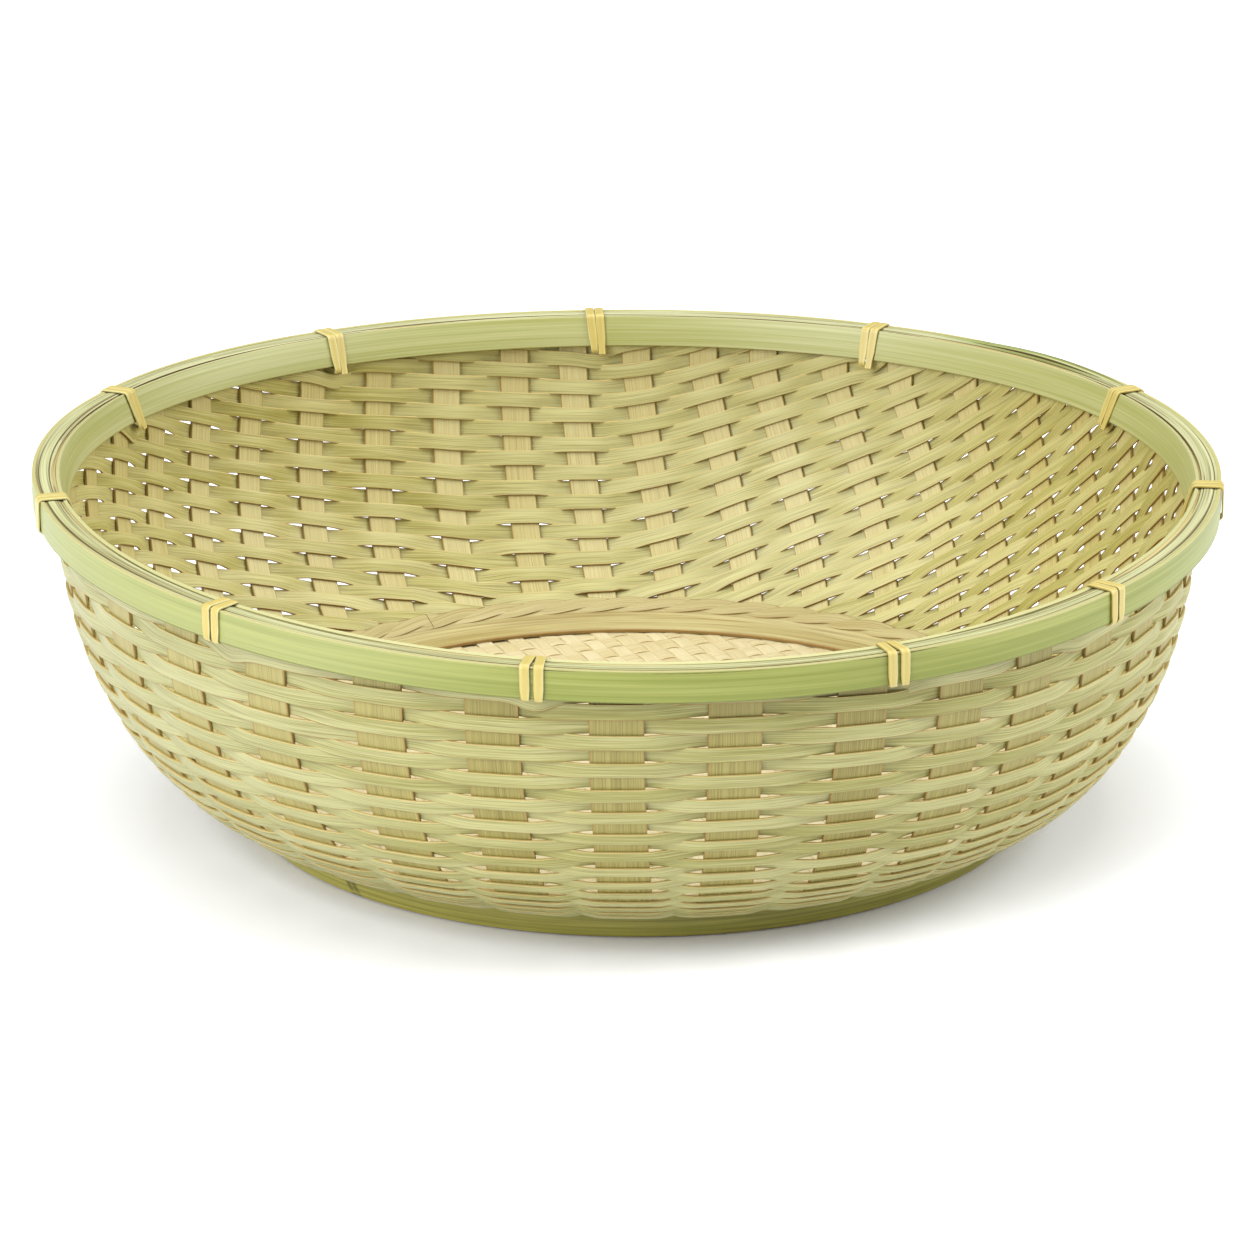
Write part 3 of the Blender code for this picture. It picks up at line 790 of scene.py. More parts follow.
# %% [markdown]
# A weaver lies flat against each stake it passes, outside one and inside the next, and crosses over in
# the gap between them. There its neighbours squeeze it and it twists a little, with its lower edge
# outwards. Beside a stake that it passes on the inside its lower edge is lifted, and light shows through
# under it. All this is worked out first as tables along the weaver, because a cloth or rope simulation
# would never find its way through the stakes.

# %% Weavers: how they bend
WEAVER_THICKNESS = 0.00075
WEAVER_CLEARANCE = 0.00003
WEAVER_OFFSET = (STAKE_THICKNESS + WEAVER_THICKNESS) / 2 + WEAVER_CLEARANCE
WALK_STEP = 0.4
# Half a weaver's width as a share of the row pitch, at azimuths all round
WIDTH_SHARES = [
    (-180, 0.56), (-110, 0.55), (-70, 0.505), (70, 0.505), (95, 0.59), (140, 0.60), (183, 0.56),
]
# How far the lower edges lift beside the stakes, in millimetres, at azimuths all round
LIFTS = [
    (-180, 0.5), (-150, 0.65), (-125, 0.95), (-100, 0.9), (-75, 0.45), (-60, 0.1), (60, 0.1), (75, 0.25),
    (100, 0.55), (140, 0.5), (165, 0.4), (183, 0.5),
]
# How much broader a weaver is, as a share of the pitch, between two stakes and down at the foot
GAP_BROADENING = 0.03
FOOT_BROADENING = 0.12
FOOT_ZONE = 0.030
LIFT_REACH = 0.52
LEAST_LIFT = 0.2
TWIST = 0.17
TWIST_CHANGE = 0.2
TWIST_TURN = 2.3
HOLE_REACH = 1.9
HOLE_DIP = 0.0026
# The dip at a hole starts this far below the rim, and is full after that much more
HOLE_ZONE = 0.009
HOLE_RISE = 0.008
# How weavers wander up and down: radians per degree, radians from row to row, and metres
WANDERING = [(0.071, 1.9, 0.00018), (0.19, 0.7, 0.00010)]


def weaver_path(row, start, end):
    """Tables along a weaver: azimuth, distance up, slope, lower and upper half width, offset, twist."""
    degrees = np.arange(start, end, WALK_STEP)
    lengths, here, lap = weaver_lengths(row, degrees)
    radius = np.interp(lengths, even_lengths, even_radii)
    slope = np.gradient(lengths) / (radius * math.radians(WALK_STEP))
    middles = with_neighbours(stake_azimuths(lengths), 360)
    halves = with_neighbours(stake_half_widths(lengths))
    left = (middles <= here[:, None]).sum(axis=1) - 1
    rows = np.arange(len(here))
    gap_start = middles[rows, left] + halves[rows, left]
    gap_end = middles[rows, left + 1] - halves[rows, left + 1]
    crossed = np.clip((here - gap_start) / (gap_end - gap_start), 0, 1)
    row_here = row - ROWS_ROUND * lap.astype(int)
    side = np.where((row_here + left - 1) % 2 == 0, 1.0, -1.0)
    offset = side * WEAVER_OFFSET * (1 - 2 * smooth_step(crossed))
    squeeze = np.sin(np.pi * crossed)
    flatness = 1 / np.sqrt(1 + slope**2)
    low_down = np.clip(1 - lengths / FOOT_ZONE, 0, 1)
    share = np.interp(here, *zip(*WIDTH_SHARES)) + GAP_BROADENING * squeeze + FOOT_BROADENING * low_down
    half_width = row_pitch(here, lengths) * flatness * share
    from_inside = np.where(side < 0, crossed, 1 - crossed)
    lift = np.interp(here, *zip(*LIFTS)) / 1000 * np.exp(-((from_inside / LIFT_REACH) ** 2))
    lower = half_width - lift * np.clip(lengths / FOOT_ZONE, LEAST_LIFT, 1)
    twist = TWIST * squeeze * (1 + TWIST_CHANGE * math.sin(row * TWIST_TURN))
    dip = np.zeros(len(here))
    for hole in hole_azimuths:
        away = (here - hole + 180) % 360 - 180
        dip = np.maximum(dip, np.exp(-((away / HOLE_REACH) ** 2)))
    near_rim = np.clip((lengths - (WALL_LENGTH - HOLE_ZONE)) / HOLE_RISE, 0, 1)
    drift = sum(reach * np.sin(degrees * rate + row * turn) for rate, turn, reach in WANDERING)
    lengths = lengths - HOLE_DIP * dip * smooth_step(near_rim) + drift
    return degrees, lengths, slope, lower, half_width, offset, twist


print("points along the first weaver:", len(weaver_path(*weaver_runs[0])[0]))

# %% [markdown]
# The tables give a weaver's middle line. Its strip lies square to that line, is arched a little, as split
# bamboo is, and is tilted where it twists. All weavers are laid by the same two functions.

# %% Weavers
WEAVER_CROWN = 0.22
WEAVER_STEP = 0.8
FEWEST_STEPS = 12
WEAVER_GRAIN_SHIFT = 2.31


def weaver_place(path):
    """Where a weaver's strip lies."""
    degrees, lengths, slope, lower, upper, offset, twist = path

    def place(u, v):
        at = degrees[0] + (degrees[-1] - degrees[0]) * u
        length = np.interp(at, degrees, lengths)
        tilt = np.arctan(np.interp(at, degrees, slope))
        low = np.interp(at, degrees, lower)
        across = v * (np.interp(at, degrees, upper) + low) - low
        lean = np.interp(at, degrees, twist)
        radius = np.interp(length, even_lengths, even_radii)
        turned = at - np.degrees(across * np.sin(tilt) / radius)
        crown = 1 + WEAVER_CROWN * (1 - to_edges(v))
        depth = MIDDLE_DEPTH - np.interp(at, degrees, offset) * crown + across * np.sin(lean)
        up = length + across * np.cos(tilt) * np.cos(lean)
        return on_wall(turned, np.clip(up, 0, WALL_END), depth)
    return place


for number, (row, start, end) in enumerate(weaver_runs, start=1):
    run = math.radians(end - start) * WALL_SHOULDER_RADIUS
    steps = max(FEWEST_STEPS, int((end - start) / WEAVER_STEP))
    place = weaver_place(weaver_path(row, start, end))
    weaver = lay_strip(
        f"weaver_{number:02d}", place, steps, 3, WEAVER_THICKNESS, run, weaver_finish,
        start=number * WEAVER_GRAIN_SHIFT,
    )
    stand_for(weaver, "weave_strip", "woven_wall")
print("weavers laid:", len(weaver_runs))

# %% [markdown]
# The hoops, the fillers and the foot are all rings of one strip. The two ends of a hoop are shaved thin
# and laid one over the other, so its thickness stays the same all round. The ends of a filler only meet.
# A torus would have no ends at all, and its grain would run round it without a joint.

# %% Rings of one strip
THIN_END = 0.12
TAPER_END = 6
TIE_REACH = 5.0
RING_STEPS = 320


def near_ties(degrees):
    """1 at a tie and 0 well away from all of them."""
    away = (np.asarray(degrees)[:, None] - np.array(TIE_AZIMUTHS)[None, :] + 180) % 360 - 180
    return np.exp(-((away / TIE_REACH) ** 2)).max(axis=1)


def lapped(u, turn, lap):
    """How thick a ring's strip is along it, as a share, and how far its thinned ends lie to either side."""
    degrees = turn * u
    first = np.interp(degrees, [0, lap, lap + TAPER_END], [THIN_END, 1 - THIN_END, 1])
    last = np.interp(turn - degrees, [0, lap, lap + TAPER_END], [THIN_END, 1 - THIN_END, 1])
    return first * last, (first - last) / 2


def uncut(u, turn, lap):
    """The same as lapped, for a strip whose ends only meet: full thickness, and nothing to either side."""
    return np.ones_like(u), np.zeros_like(u)


def lay_ring(name, start, lap, surface, wide_steps, thickness, finish, ends=lapped, ease=0.00015):
    """A closed ring of one strip; surface(degrees, v, sideways) gives its radius and height."""
    turn = 360 + lap

    def place(u, v):
        degrees = start + turn * u
        _, sideways = ends(u, turn, lap)
        radius, height = surface(degrees, v, sideways * thickness)
        return settle(np.radians(degrees), radius, height)

    length = math.radians(turn) * RIM_RADIUS
    return lay_strip(
        name, place, RING_STEPS, wide_steps, thickness, length, finish, ease=ease,
        thin=lambda u: ends(u, turn, lap)[0],
    )


print("a ring's strip is thinned to", THIN_END, "of its thickness at its ends")

# %% [markdown]
# The two hoops are broad strips of green skin that clamp the weave's cut edge between them. Skin is
# smoother than split bamboo, so its finish has less fibre and relief and is a little shinier. The outer
# hoop is paler at the front left, a painted reflection of the light on the left, and the inner one greener
# at the back left.

# %% Finishes of the hoops
FRONT_LEFT = (-0.8, -0.6, 0)
BACK_LEFT = (-0.45, 0.89, 0)
outer_finish = bamboo(
    "outer_hoop_bamboo", light=(151, 155, 80), deep=(117, 125, 40), fibre=(100, 108, 36),
    low_edge=(104, 108, 38), high_edge=(172, 166, 110), lines=18, fibre_depth=0.18, edge_share=0.05,
    along_rate=7, slow_rate=2.0, roughness=0.42, relief=0.15,
    # Painted reflection: the outer hoop turns paler towards the front left, as a reflection of the light on
    # the left.
    patch=(FRONT_LEFT, 0.125, 0.17, 0.45, (160, 164, 112)),
)
inner_finish = bamboo(
    "inner_hoop_bamboo", light=(171, 171, 122), deep=(146, 148, 80), fibre=(124, 128, 60),
    low_edge=(139, 134, 72), high_edge=(174, 172, 120), lines=18, fibre_depth=0.25, edge_share=0.04,
    along_rate=6, slow_rate=2.0, roughness=0.42, relief=0.12,
    patch=(BACK_LEFT, 0.15, 0.18, 0.5, (140, 142, 72)),
)
print("finishes:", outer_finish.name, inner_finish.name)

# %% [markdown]
# The real hoops are drawn tight at each tie and swell a little between ties, so their edges aren't true
# circles. Each hoop's surface says how its radius and height change round it and across it. The inner
# hoop leans outwards with the wall, and its face bulges towards the middle of the basket.

# %% Hoops
HOOP_LAP = 20
OUTER_START = 153
OUTER_PULL = 0.00022
OUTER_SWAY = 0.00008
OUTER_SWELL = 0.00016
OUTER_MARGIN = 0.00008
INNER_START = -176.5
INNER_PULL = 0.00020
INNER_SWAY = 0.00010
INNER_SWELL = 0.00030
INNER_MARGIN = 0.00020


def outer_hoop_surface(degrees, v, sideways):
    azimuth = np.radians(degrees)
    drawn_in = OUTER_PULL * near_ties(degrees) + OUTER_SWAY * (1 + np.sin(3 * azimuth + 1))
    swell = -OUTER_SWELL * to_edges(v)
    radius = RIM_RADIUS - HOOP_THICKNESS / 2 - drawn_in + swell - sideways
    height = RIM_UNDERSIDE + OUTER_MARGIN + (RIM_DEPTH - 2 * OUTER_MARGIN) * v
    return radius, height


def inner_hoop_surface(degrees, v, sideways):
    azimuth = np.radians(degrees)
    pressed = INNER_PULL * near_ties(degrees) + INNER_SWAY * np.sin(5 * azimuth)
    swell = INNER_SWELL * (1 - to_edges(v))
    middle = HOOP_FOOT_RADIUS - HOOP_THICKNESS * LEAN_STRETCH / 2
    radius = middle + RIM_LEAN * v + pressed - swell + sideways
    height = RIM_UNDERSIDE + INNER_MARGIN + (RIM_DEPTH - 2 * INNER_MARGIN) * v
    return radius, height


outer_hoop = lay_ring(
    "outer_hoop", OUTER_START, HOOP_LAP, outer_hoop_surface, 6, HOOP_THICKNESS, outer_finish
)
stand_for(outer_hoop, "hoop_skin", "rim_outer_hoop")
inner_hoop = lay_ring(
    "inner_hoop", INNER_START, HOOP_LAP, inner_hoop_surface, 6, HOOP_THICKNESS, inner_finish
)
stand_for(inner_hoop, "hoop_skin", "rim_inner_hoop")
print("hoops:", outer_hoop.name, inner_hoop.name)

# %% [markdown]
# Between the hoops stand the filler strips, seen from above as fine lines of cut fibre. Their edges are
# painted dark as the shade in the narrow gaps between them, so two fillers side by side show a line between
# them. At the back right the outer one shows a stretch of green skin.

# %% Finishes of the fillers
GREEN_AZIMUTH = 132
green_side = (math.sin(math.radians(GREEN_AZIMUTH)), -math.cos(math.radians(GREEN_AZIMUTH)), 0)
filler_finish = bamboo(
    "filler_bamboo", light=(176, 176, 136), deep=(159, 161, 110), fibre=(104, 88, 42),
    # Painted shade: both edges of a filler are dark brown, as the shade that falls in the narrow gaps
    # between the strips.
    low_edge=(84, 66, 30), high_edge=(84, 66, 30), lines=5, fibre_depth=0.75, edge_share=0.16,
    along_rate=7, slow_rate=3, roughness=0.55, relief=0.4,
    patch=(green_side, 0.1710, 0.1755, 0.9, (122, 134, 62)),
)
core_finish = bamboo(
    "core_bamboo", light=(178, 165, 115), deep=(158, 143, 88), fibre=(105, 86, 39),
    low_edge=(99, 76, 33), high_edge=(124, 104, 55), lines=4, fibre_depth=0.7, edge_share=0.16,
    along_rate=8, slow_rate=3, roughness=0.6, relief=0.5,
)
print("finishes:", filler_finish.name, core_finish.name)

# %% [markdown]
# Each filler is laid as a flat ribbon as wide as the strip is thick, and Solidify gives it its depth.
# That way round its grain shows on its top edge, which is all that is seen of it. The fillers are of
# uneven heights, and dark gaps of uneven width run beside them. On its green stretch the outer one stands
# a little proud.

# %% Fillers
FILLER_DEPTH = RIM_DEPTH - 0.0003
SHORT_DEPTH = CAP_DEPTH - 0.0002
FILLER_GAP = 0.1
FILLER_ROUNDING = 0.00012
FINE_SWAY = 0.4
TOP_SWAY = 0.5
GREEN_REACH = 10.0


def lay_filler(name, node, outer, width, depth, drop, start, wander, finish, slot, rise=0.0):
    """A strip on edge: its outer radius, its width seen from above, its depth, how low its top lies, where
    it starts, how far it wanders, and how much higher it stands on the green stretch."""
    def surface(degrees, v, sideways):
        azimuth = np.radians(degrees)
        loose = 1 - near_ties(degrees)
        sway = wander * loose * np.sin(4 * azimuth + start)
        sway = sway + FINE_SWAY * wander * np.sin(11 * azimuth + start)
        radius = outer - width * (1 - v) + sway
        dip = drop * (1 + TOP_SWAY * loose * np.sin(5 * azimuth + 2 * start))
        dip = dip + FILLER_ROUNDING * to_edges(v)
        from_green = (degrees - GREEN_AZIMUTH + 180) % 360 - 180
        dip = dip - rise * np.exp(-((from_green / GREEN_REACH) ** 2))
        return radius, RIM_HEIGHT - dip - depth / 2
    strip = lay_ring(name, start, -FILLER_GAP, surface, 3, depth, finish, ends=uncut, ease=0.00010)
    stand_for(strip, slot, node)


lay_filler(
    "filler_outer", "rim_filler_outer", outer=FILLER_OUTER_RADIUS, width=0.00142, depth=FILLER_DEPTH,
    drop=0.00032, start=139, wander=0.00010, finish=filler_finish, slot="filler_strip", rise=0.0010,
)
lay_filler(
    "filler_middle", "rim_filler_middle", outer=FILLER_MIDDLE_RADIUS + 0.00012, width=0.00155,
    depth=FILLER_DEPTH, drop=0.00010, start=-131, wander=0.00012, finish=filler_finish, slot="filler_strip",
)
lay_filler(
    "filler_inner", "rim_filler_inner", outer=CAP_RADIUS + 0.00010, width=0.00090, depth=SHORT_DEPTH,
    drop=0.00028, start=-96, wander=0.00012, finish=filler_finish, slot="filler_strip",
)
lay_filler(
    "core_strip", "rim_core_strip", outer=CORE_RADIUS + 0.00004, width=CORE_THICKNESS - 0.0001,
    depth=SHORT_DEPTH, drop=0.00060, start=100, wander=0.00006, finish=core_finish, slot="stake_strip",
)
print("fillers laid")

# %% [markdown]
# A tie is one split strip, wound twice round the rim. Outside, its turns stand apart; on top they come
# closer, and inside they meet at the hole. Its middle line is drawn through ten corners, which are then
# rounded off as a stiff strip rounds them. A curve object with a bevel could follow the same line, but
# its flat side would turn as it liked, and a tie's width lies along the rim all the way.

# %% Ties: rounding the corners
TIE_CORNER = 0.0011
CORNER_POINTS = 5


def rounded(corners, radius):
    """An open path through corners, with its corners rounded."""
    path = [np.array(corners[0])]
    for before, here, after in zip(corners, corners[1:], corners[2:]):
        here = np.array(here)
        back = (before - here) / np.linalg.norm(before - here)
        on = (after - here) / np.linalg.norm(after - here)
        half = math.acos(np.clip(np.dot(back, on), -1, 1)) / 2
        bisector = (back + on) / np.linalg.norm(back + on)
        centre = here + bisector * (radius / math.sin(half))
        first = here + back * (radius / math.tan(half)) - centre
        last = here + on * (radius / math.tan(half)) - centre
        for share in np.linspace(0, 1, CORNER_POINTS):
            arm = first * (1 - share) + last * share
            path.append(centre + arm / np.linalg.norm(arm) * radius)
    path.append(np.array(corners[-1]))
    return np.array(path)


print("corners rounded off at", TIE_CORNER * 1000, "mm")

# %% [markdown]
# The corners of a tie lie just off the rim's own surfaces: outside the outer hoop, above the fillers,
# inside the inner hoop and below them all. Where two lengths of the strip come close under the rim, one
# lies a little lower.

# %% Ties: the middle line
TIE_CLEARANCE = 0.00012
# How far a tie pulls in the outer hoop and presses on the inner one
TIE_PULL = 0.0002
TIE_PRESS = 0.0001
# How far below the rim the hole lies, and how far apart a tie's turns are there and on top, from the middle
HOLE_BELOW = 0.0020
HOLE_HALF = 0.00115
TOP_HALF = 0.0015
# How far the turns stray from straight lines, and how far the last end lies outside the first
TIE_STRAY = 0.0003
END_OUTSIDE = 0.0016
END_BELOW = 0.0001
SHIFT_UNDERNEATH = 0.7


def tie_line(spread, shift):
    """The middle line of a tie's two turns, as (sideways, radius, height); shift leads to its hole."""
    off = TIE_CLEARANCE + TIE_THICKNESS / 2
    outside = RIM_RADIUS - TIE_PULL + off
    above = RIM_HEIGHT + off
    below = RIM_UNDERSIDE - off
    inside_top = INNER_HOOP_RADIUS - HOOP_THICKNESS * LEAN_STRETCH - off + TIE_PRESS
    inside_foot = inside_top - LEAN_SLOPE * (above - below)
    under = FILLER_MIDDLE_RADIUS - FILLER_THICKNESS
    hole = below - HOLE_BELOW
    hole_radius = inside_foot - LEAN_SLOPE * HOLE_BELOW
    apart = spread / 2
    top = min(apart, TOP_HALF)
    drawn = shift * SHIFT_UNDERNEATH
    corners = [
        (shift - HOLE_HALF, hole_radius, hole),
        (-top, inside_top, above),
        (-apart, outside, above),
        (-apart + TIE_STRAY, outside, below),
        (drawn - HOLE_HALF, under, below),
        (shift + HOLE_HALF, hole_radius - TIE_STRAY, hole),
        (top, inside_top - TIE_PRESS, above),
        (apart, outside, above),
        (apart, outside, below),
        (drawn + HOLE_HALF, under + END_OUTSIDE, below - END_BELOW),
    ]
    return rounded(corners, TIE_CORNER)


print("a tie's middle line has", len(tie_line(2 * TOP_HALF, 0)), "points")

# %% [markdown]
# The ties are of glossy, pale yellow strip, a little darker along their middle: partly their own golden
# colour, and partly a painted highlight that leaves their rounded edges paler. A tie narrows where it goes
# down into its hole. In front the two turns stand further apart than at the back.

# %% Ties
TIE_WIDTH = 0.0028
TIE_NARROWING = 0.22
TIE_NARROW_ZONE = 0.003
TIE_CROWN = 0.00013
TIE_RUN = 0.0002
TIE_STEPS = 170
TIE_GRAIN_SHIFT = 0.83
# How far apart the two turns of each tie stand outside, in millimetres
TIE_SPREADS = [3.0, 3.2, 2.9, 3.6, 4.1, 4.1, 3.6, 3.2, 3.1, 3.0, 3.1]
tie_finish = bamboo(
    "tie_bamboo", light=(192, 182, 118), deep=(182, 165, 90), fibre=(158, 130, 58),
    # Painted highlight: the face's sides stay paler than its darker middle, and the high edge is paler
    # still, as the light the rounded edges catch. The middle is partly the strip's own golden colour.
    low_edge=(172, 150, 78), high_edge=(198, 188, 130), lines=7, fibre_depth=0.25, edge_share=0.10,
    along_rate=60, slow_rate=40, roughness=0.38, relief=0.3, belly=(182, 164, 90),
)


def tie_place(tie, hole, spread):
    """Where a tie's strip lies, and its length."""
    azimuth = math.radians(tie)
    outwards = np.array([math.sin(azimuth), -math.cos(azimuth)])
    sideways = np.array([math.cos(azimuth), math.sin(azimuth)])
    line = tie_line(spread, math.radians(hole - tie) * WALL_SHOULDER_RADIUS)
    steps = np.append(0, np.cumsum(np.linalg.norm(np.diff(line, axis=0), axis=1)))

    def at(distance):
        return np.stack([np.interp(distance, steps, line[:, i]) for i in range(3)], axis=-1)

    def place(u, v):
        distance = u * steps[-1]
        point = at(distance)
        run = at(distance + TIE_RUN) - at(distance - TIE_RUN)
        normal = np.stack([run[:, 2], -run[:, 1]], axis=-1)
        normal /= np.linalg.norm(normal, axis=1)[:, None]
        lowness = np.clip((RIM_UNDERSIDE + TIE_NARROW_ZONE - point[:, 2]) / TIE_NARROW_ZONE, 0, 1)
        narrow = 1 - TIE_NARROWING * lowness
        aside = point[:, 0] + (v - 0.5) * TIE_WIDTH * narrow
        crown = TIE_CROWN * (1 - to_edges(v))
        reach = point[:, 1] - normal[:, 0] * crown
        height = point[:, 2] - normal[:, 1] * crown
        x = outwards[0] * reach + sideways[0] * aside
        y = outwards[1] * reach + sideways[1] * aside
        return settle(np.arctan2(x, -y), np.hypot(x, y), height)
    return place, steps[-1]


for number, (tie, hole, spread) in enumerate(zip(TIE_AZIMUTHS, hole_azimuths, TIE_SPREADS), start=1):
    place, length = tie_place(tie, hole, spread / 1000)
    strip = lay_strip(
        f"tie_{number:02d}", place, TIE_STEPS, 4, TIE_THICKNESS, length, tie_finish,
        start=number * TIE_GRAIN_SHIFT, ease=0.00008,
    )
    stand_for(strip, "tie_strip", f"rim_tie_{number:02d}")
print("ties wound:", len(TIE_AZIMUTHS))

# %% [markdown]
# The foot is one stout strip of olive skin bent round on edge, its face slightly swelling. A knot of the
# bamboo shows on it as a dark slanted scar, to the left of the front. The scar is part of the finish and
# not a shape, because a maker shaves the knot flush. Its place is given in metres along the strip, as
# lay_ring counts them.

# %% Foot ring
FOOT_LAP = 16
FOOT_START = -176
FOOT_SWELL = 0.0004
FOOT_INSET = 0.0005
FOOT_LIFT = 0.00045
FOOT_TRIM = 0.00070
FOOT_SHAVED = 0.0002
KNOT_AZIMUTH = -44
KNOT_WIDTH = 0.0035
ring_length = math.radians(360 + FOOT_LAP) * RIM_RADIUS
knot = (KNOT_AZIMUTH - FOOT_START) / (360 + FOOT_LAP) * ring_length
foot_finish = bamboo(
    "foot_bamboo", light=(170, 163, 76), deep=(130, 127, 44), fibre=(102, 94, 29),
    low_edge=(142, 118, 44), high_edge=(150, 128, 52), lines=12, fibre_depth=0.45, edge_share=0.04,
    along_rate=7, slow_rate=2.0, roughness=0.45, relief=0.3, marks=(knot, knot + KNOT_WIDTH),
)


def foot_surface(degrees, v, sideways):
    swell = FOOT_SWELL * (1 - to_edges(v))
    radius = FOOT_RADIUS - FOOT_INSET - FOOT_THICKNESS / 2 + swell - sideways
    height = FOOT_LIFT + (FOOT_HEIGHT - FOOT_TRIM) * v
    return radius, height


foot = lay_ring(
    "foot_hoop", FOOT_START, FOOT_LAP, foot_surface, 6, FOOT_THICKNESS - FOOT_SHAVED, foot_finish
)
stand_for(foot, "foot_skin", "foot_ring")
print("foot ring laid, its knot at", round(knot, 3), "m along")

# %% [markdown]
# The floor is plaited from split strips, broad ones one way and narrow ones across them. Each dips under
# one strip and over the next, which a cosine along the strip gives it. All strips of one direction are
# joined into one piece once they are laid, so that the floor stays two objects.

# %% Floor mat
MAT_MARGIN = 0.0004
MAT_RADIUS = WALL_START_RADIUS - MAT_MARGIN
MAT_MIDDLE = FLOOR_UNDERSIDE + WALL_THICKNESS / 2
MAT_THICKNESS = 0.0008
MAT_WAVE = 0.00040
MAT_CROWN = 0.0001
MAT_TURN = math.radians(24)
BROAD_PITCH = 0.0088
BROAD_WIDTH = 0.0085
NARROW_PITCH = 0.0054
NARROW_WIDTH = 0.0052
mat_finish = bamboo(
    "mat_bamboo", light=(203, 192, 155), deep=(189, 174, 130), fibre=(161, 140, 94),
    low_edge=(171, 147, 97), high_edge=(194, 180, 135), lines=22, fibre_depth=0.35, edge_share=0.035,
    along_rate=26, slow_rate=11, roughness=0.6, relief=0.4,
)


def mat_place(across, pitch, side, along_broad, width):
    """Where one strip of the floor lies, rising and dipping past the strips that cross it."""
    turn = MAT_TURN if along_broad else MAT_TURN + math.pi / 2

    def place(u, v):
        aside = across + (v - 0.5) * width
        along = (2 * u - 1) * np.sqrt(MAT_RADIUS**2 - aside**2)
        rise = side * MAT_WAVE * np.cos(np.pi * along / pitch)
        x = FOOT_SHIFT + along * math.cos(turn) - aside * math.sin(turn)
        y = along * math.sin(turn) + aside * math.cos(turn)
        return np.stack([x, y, MAT_MIDDLE + rise + MAT_CROWN * (1 - to_edges(v))], axis=-1)
    return place


print("a broad strip is", BROAD_WIDTH * 1000, "mm wide and a narrow one", NARROW_WIDTH * 1000, "mm")

# %% [markdown]
# The strips of one direction are laid side by side from one edge of the disc to the other, each as long
# as the disc is there. A strip that would only touch the edge of the disc is left out.

# %% Laying the floor
MAT_EDGE = 0.002
STEPS_PER_CROSSING = 4
MAT_FEWEST_STEPS = 8
MAT_GRAIN_SHIFT = 1.73
BROAD_GRAIN_SHIFT = 40


def lay_mat(name, pitch, width, cross_pitch, along_broad):
    """One direction of the floor's strips, laid side by side across the disc and joined."""
    strips = []
    count = int(MAT_RADIUS / pitch)
    for i in range(-count, count + 1):
        across = i * pitch
        widest = abs(across) + width / 2
        if widest >= MAT_RADIUS - MAT_EDGE:
            continue
        chord = math.sqrt(MAT_RADIUS**2 - across**2)
        side = (1 if i % 2 else -1) * (1 if along_broad else -1)
        steps = max(MAT_FEWEST_STEPS, int(2 * chord / cross_pitch * STEPS_PER_CROSSING))
        place = mat_place(across, cross_pitch, side, along_broad, width)
        start = i * MAT_GRAIN_SHIFT + BROAD_GRAIN_SHIFT * along_broad
        piece = lay_strip(
            f"{name}_{i}", place, steps, 2, MAT_THICKNESS, 2 * chord, mat_finish, start=start, ease=0
        )
        strips.append(piece)
    bpy.ops.object.select_all(action="DESELECT")
    for piece in strips:
        piece.select_set(True)
    bpy.context.view_layer.objects.active = strips[0]
    bpy.ops.object.join()
    joined = bpy.context.object
    joined.name = name
    joined.data.name = name
    stand_for(joined, "mat_strip", "floor_mat")
    return joined


broad_mat = lay_mat("mat_broad_strips", BROAD_PITCH, BROAD_WIDTH, NARROW_PITCH, True)
narrow_mat = lay_mat("mat_narrow_strips", NARROW_PITCH, NARROW_WIDTH, BROAD_PITCH, False)
print("floor strips:", broad_mat.name, narrow_mat.name)

# %% [markdown]
# A flat tan strip is bent round over the joint of floor and wall. Its lower edge lies on the floor and
# the rest of it climbs the wall, so it needs more points across than other strips do.

# %% Floor band
BAND_DEPTH = WALL_THICKNESS + SEAT_GAP + BAND_THICKNESS / 2
BAND_START = -30
BAND_TURN = 359.9
BAND_STEPS = 240
BAND_WIDE_STEPS = 12
BAND_WAVE = 0.0003
BAND_WAVES = 9
FLOOR_SLOPE = 0.33
BAND_RADIUS = 0.13
band_finish = bamboo(
    "band_bamboo", light=(175, 164, 115), deep=(153, 137, 79), fibre=(127, 103, 50),
    # Painted shade: the lower edge is darker, partly its cut edge's colour and partly the shade where the
    # band meets the floor.
    low_edge=(152, 122, 68), high_edge=(127, 99, 50), lines=20, fibre_depth=0.5, edge_share=0.03,
    along_rate=14, slow_rate=9, roughness=0.55, relief=0.5,
)


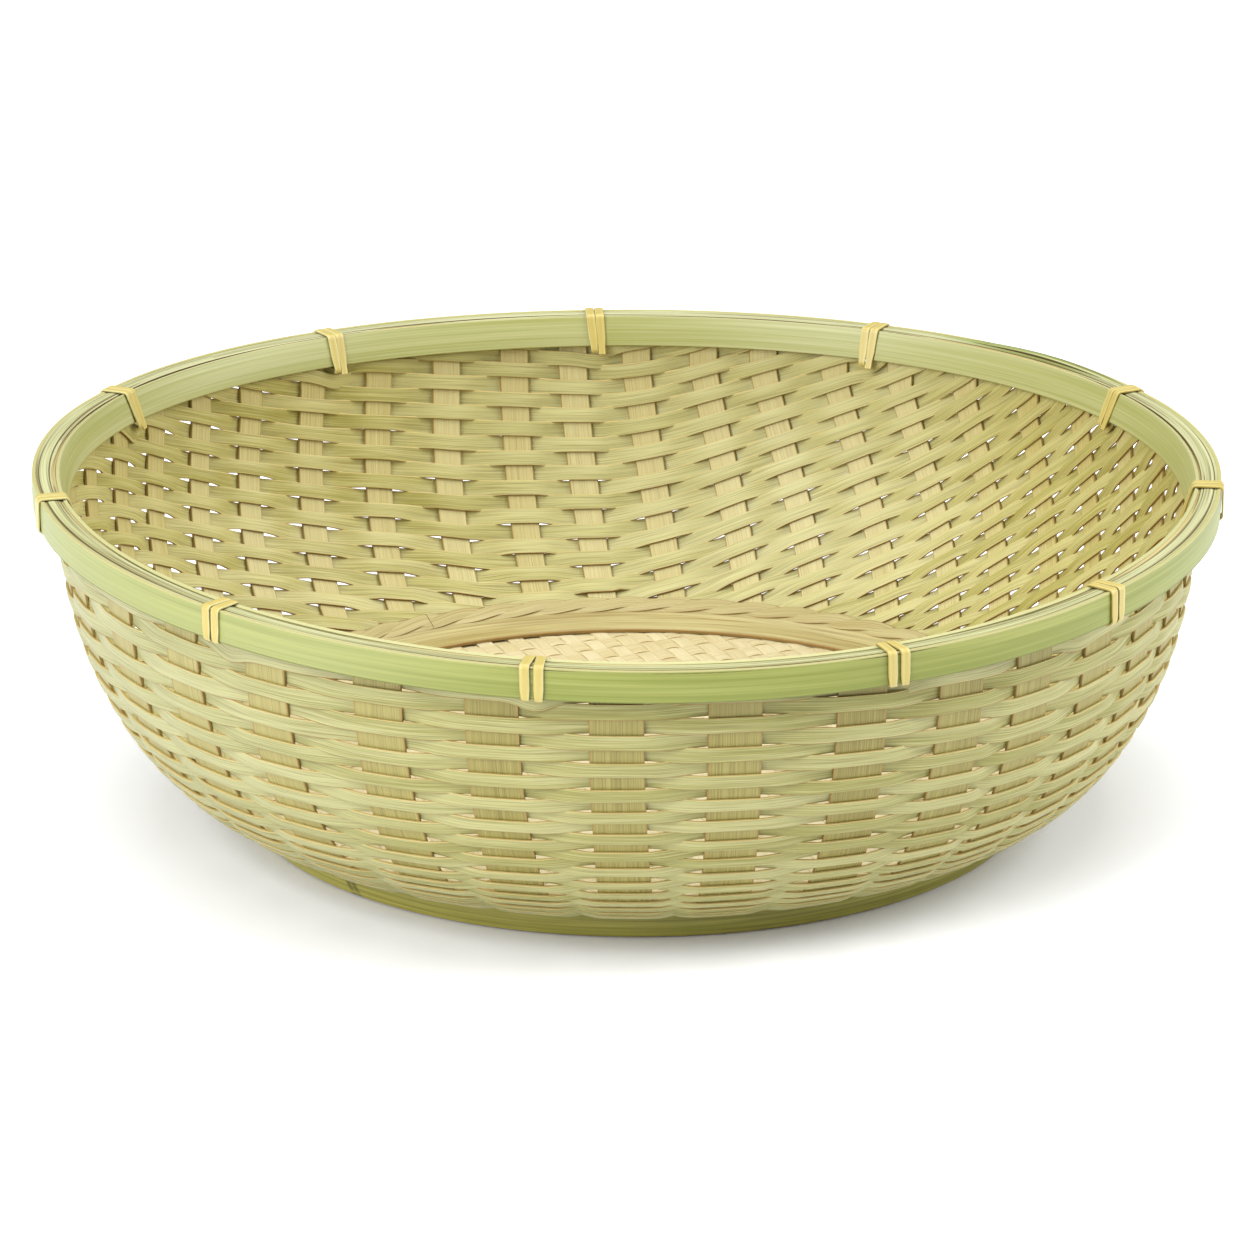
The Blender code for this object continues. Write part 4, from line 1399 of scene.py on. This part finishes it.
def band_place(first, turn, low, high, depth):
    """A ribbon over the joint: low and high are its edges, measured up the wall from the foot."""
    def place(u, v):
        degrees = first + turn * u
        edge = low + (high - low) * v + BAND_WAVE * np.sin(np.radians(degrees) * BAND_WAVES) * v
        on_mat = np.minimum(edge, 0)
        points = on_wall(degrees, np.maximum(edge, 0), np.full(len(u), depth))
        azimuth = np.radians(degrees)
        points[:, 0] += np.sin(azimuth) * on_mat
        points[:, 1] -= np.cos(azimuth) * on_mat
        points[:, 2] += FLOOR_SLOPE * on_mat
        return points
    return place


band = lay_strip(
    "floor_band_strip", band_place(BAND_START, BAND_TURN, -BAND_REACH, BAND_CLIMB, BAND_DEPTH),
    BAND_STEPS, BAND_WIDE_STEPS, BAND_THICKNESS, math.radians(360) * BAND_RADIUS, band_finish,
)
stand_for(band, "stake_strip", "floor_band")
print("band laid:", band.name)

# %% [markdown]
# Along the band's upper edge two thin strips are twined round each other, which look like a row of slim
# leaves. Each is a wave that also goes in and out, a quarter of a wave behind its going up and down, and
# the second one is half a wave behind the first. So each lies over the other at every second crossing.

# %% The twined edge
TWINE_WAVES = 30
TWINE_WIDTH = 0.0046
TWINE_THICKNESS = 0.0006
TWINE_STEPS = 640
TWINE_START = -150
TWINE_BELOW = 0.0030
TWINE_RISE = 0.0012
TWINE_CLEARANCE = 0.0003
TWINE_OUT = 0.00035
TWINE_ROUNDING = 0.0004
TWINE_SLANT = 0.5
TWINE_RADIUS = 0.135
TWINE_GRAIN_SHIFT = 3.1


def twine_place(side):
    """One of the two strips that twine along the band's upper edge."""
    def place(u, v):
        degrees = TWINE_START + BAND_TURN * u
        phase = np.radians(degrees) * TWINE_WAVES + (0 if side > 0 else math.pi)
        length = BAND_CLIMB - TWINE_BELOW + TWINE_RISE * np.cos(phase) + (v - 0.5) * TWINE_WIDTH
        middle = BAND_DEPTH + BAND_THICKNESS / 2 + TWINE_CLEARANCE
        depth = middle + TWINE_OUT * np.sin(phase) - TWINE_ROUNDING * to_edges(v)
        return on_wall(degrees + (v - 0.5) * TWINE_SLANT * np.sin(phase), length, depth)
    return place


for number, side in enumerate((1, -1), start=1):
    twine = lay_strip(
        f"band_twine_{number}", twine_place(side), TWINE_STEPS, 3, TWINE_THICKNESS,
        math.radians(360) * TWINE_RADIUS, band_finish, start=number * TWINE_GRAIN_SHIFT, ease=0,
    )
    stand_for(twine, "stake_strip", "floor_band")
print("twine laid along the band's upper edge")
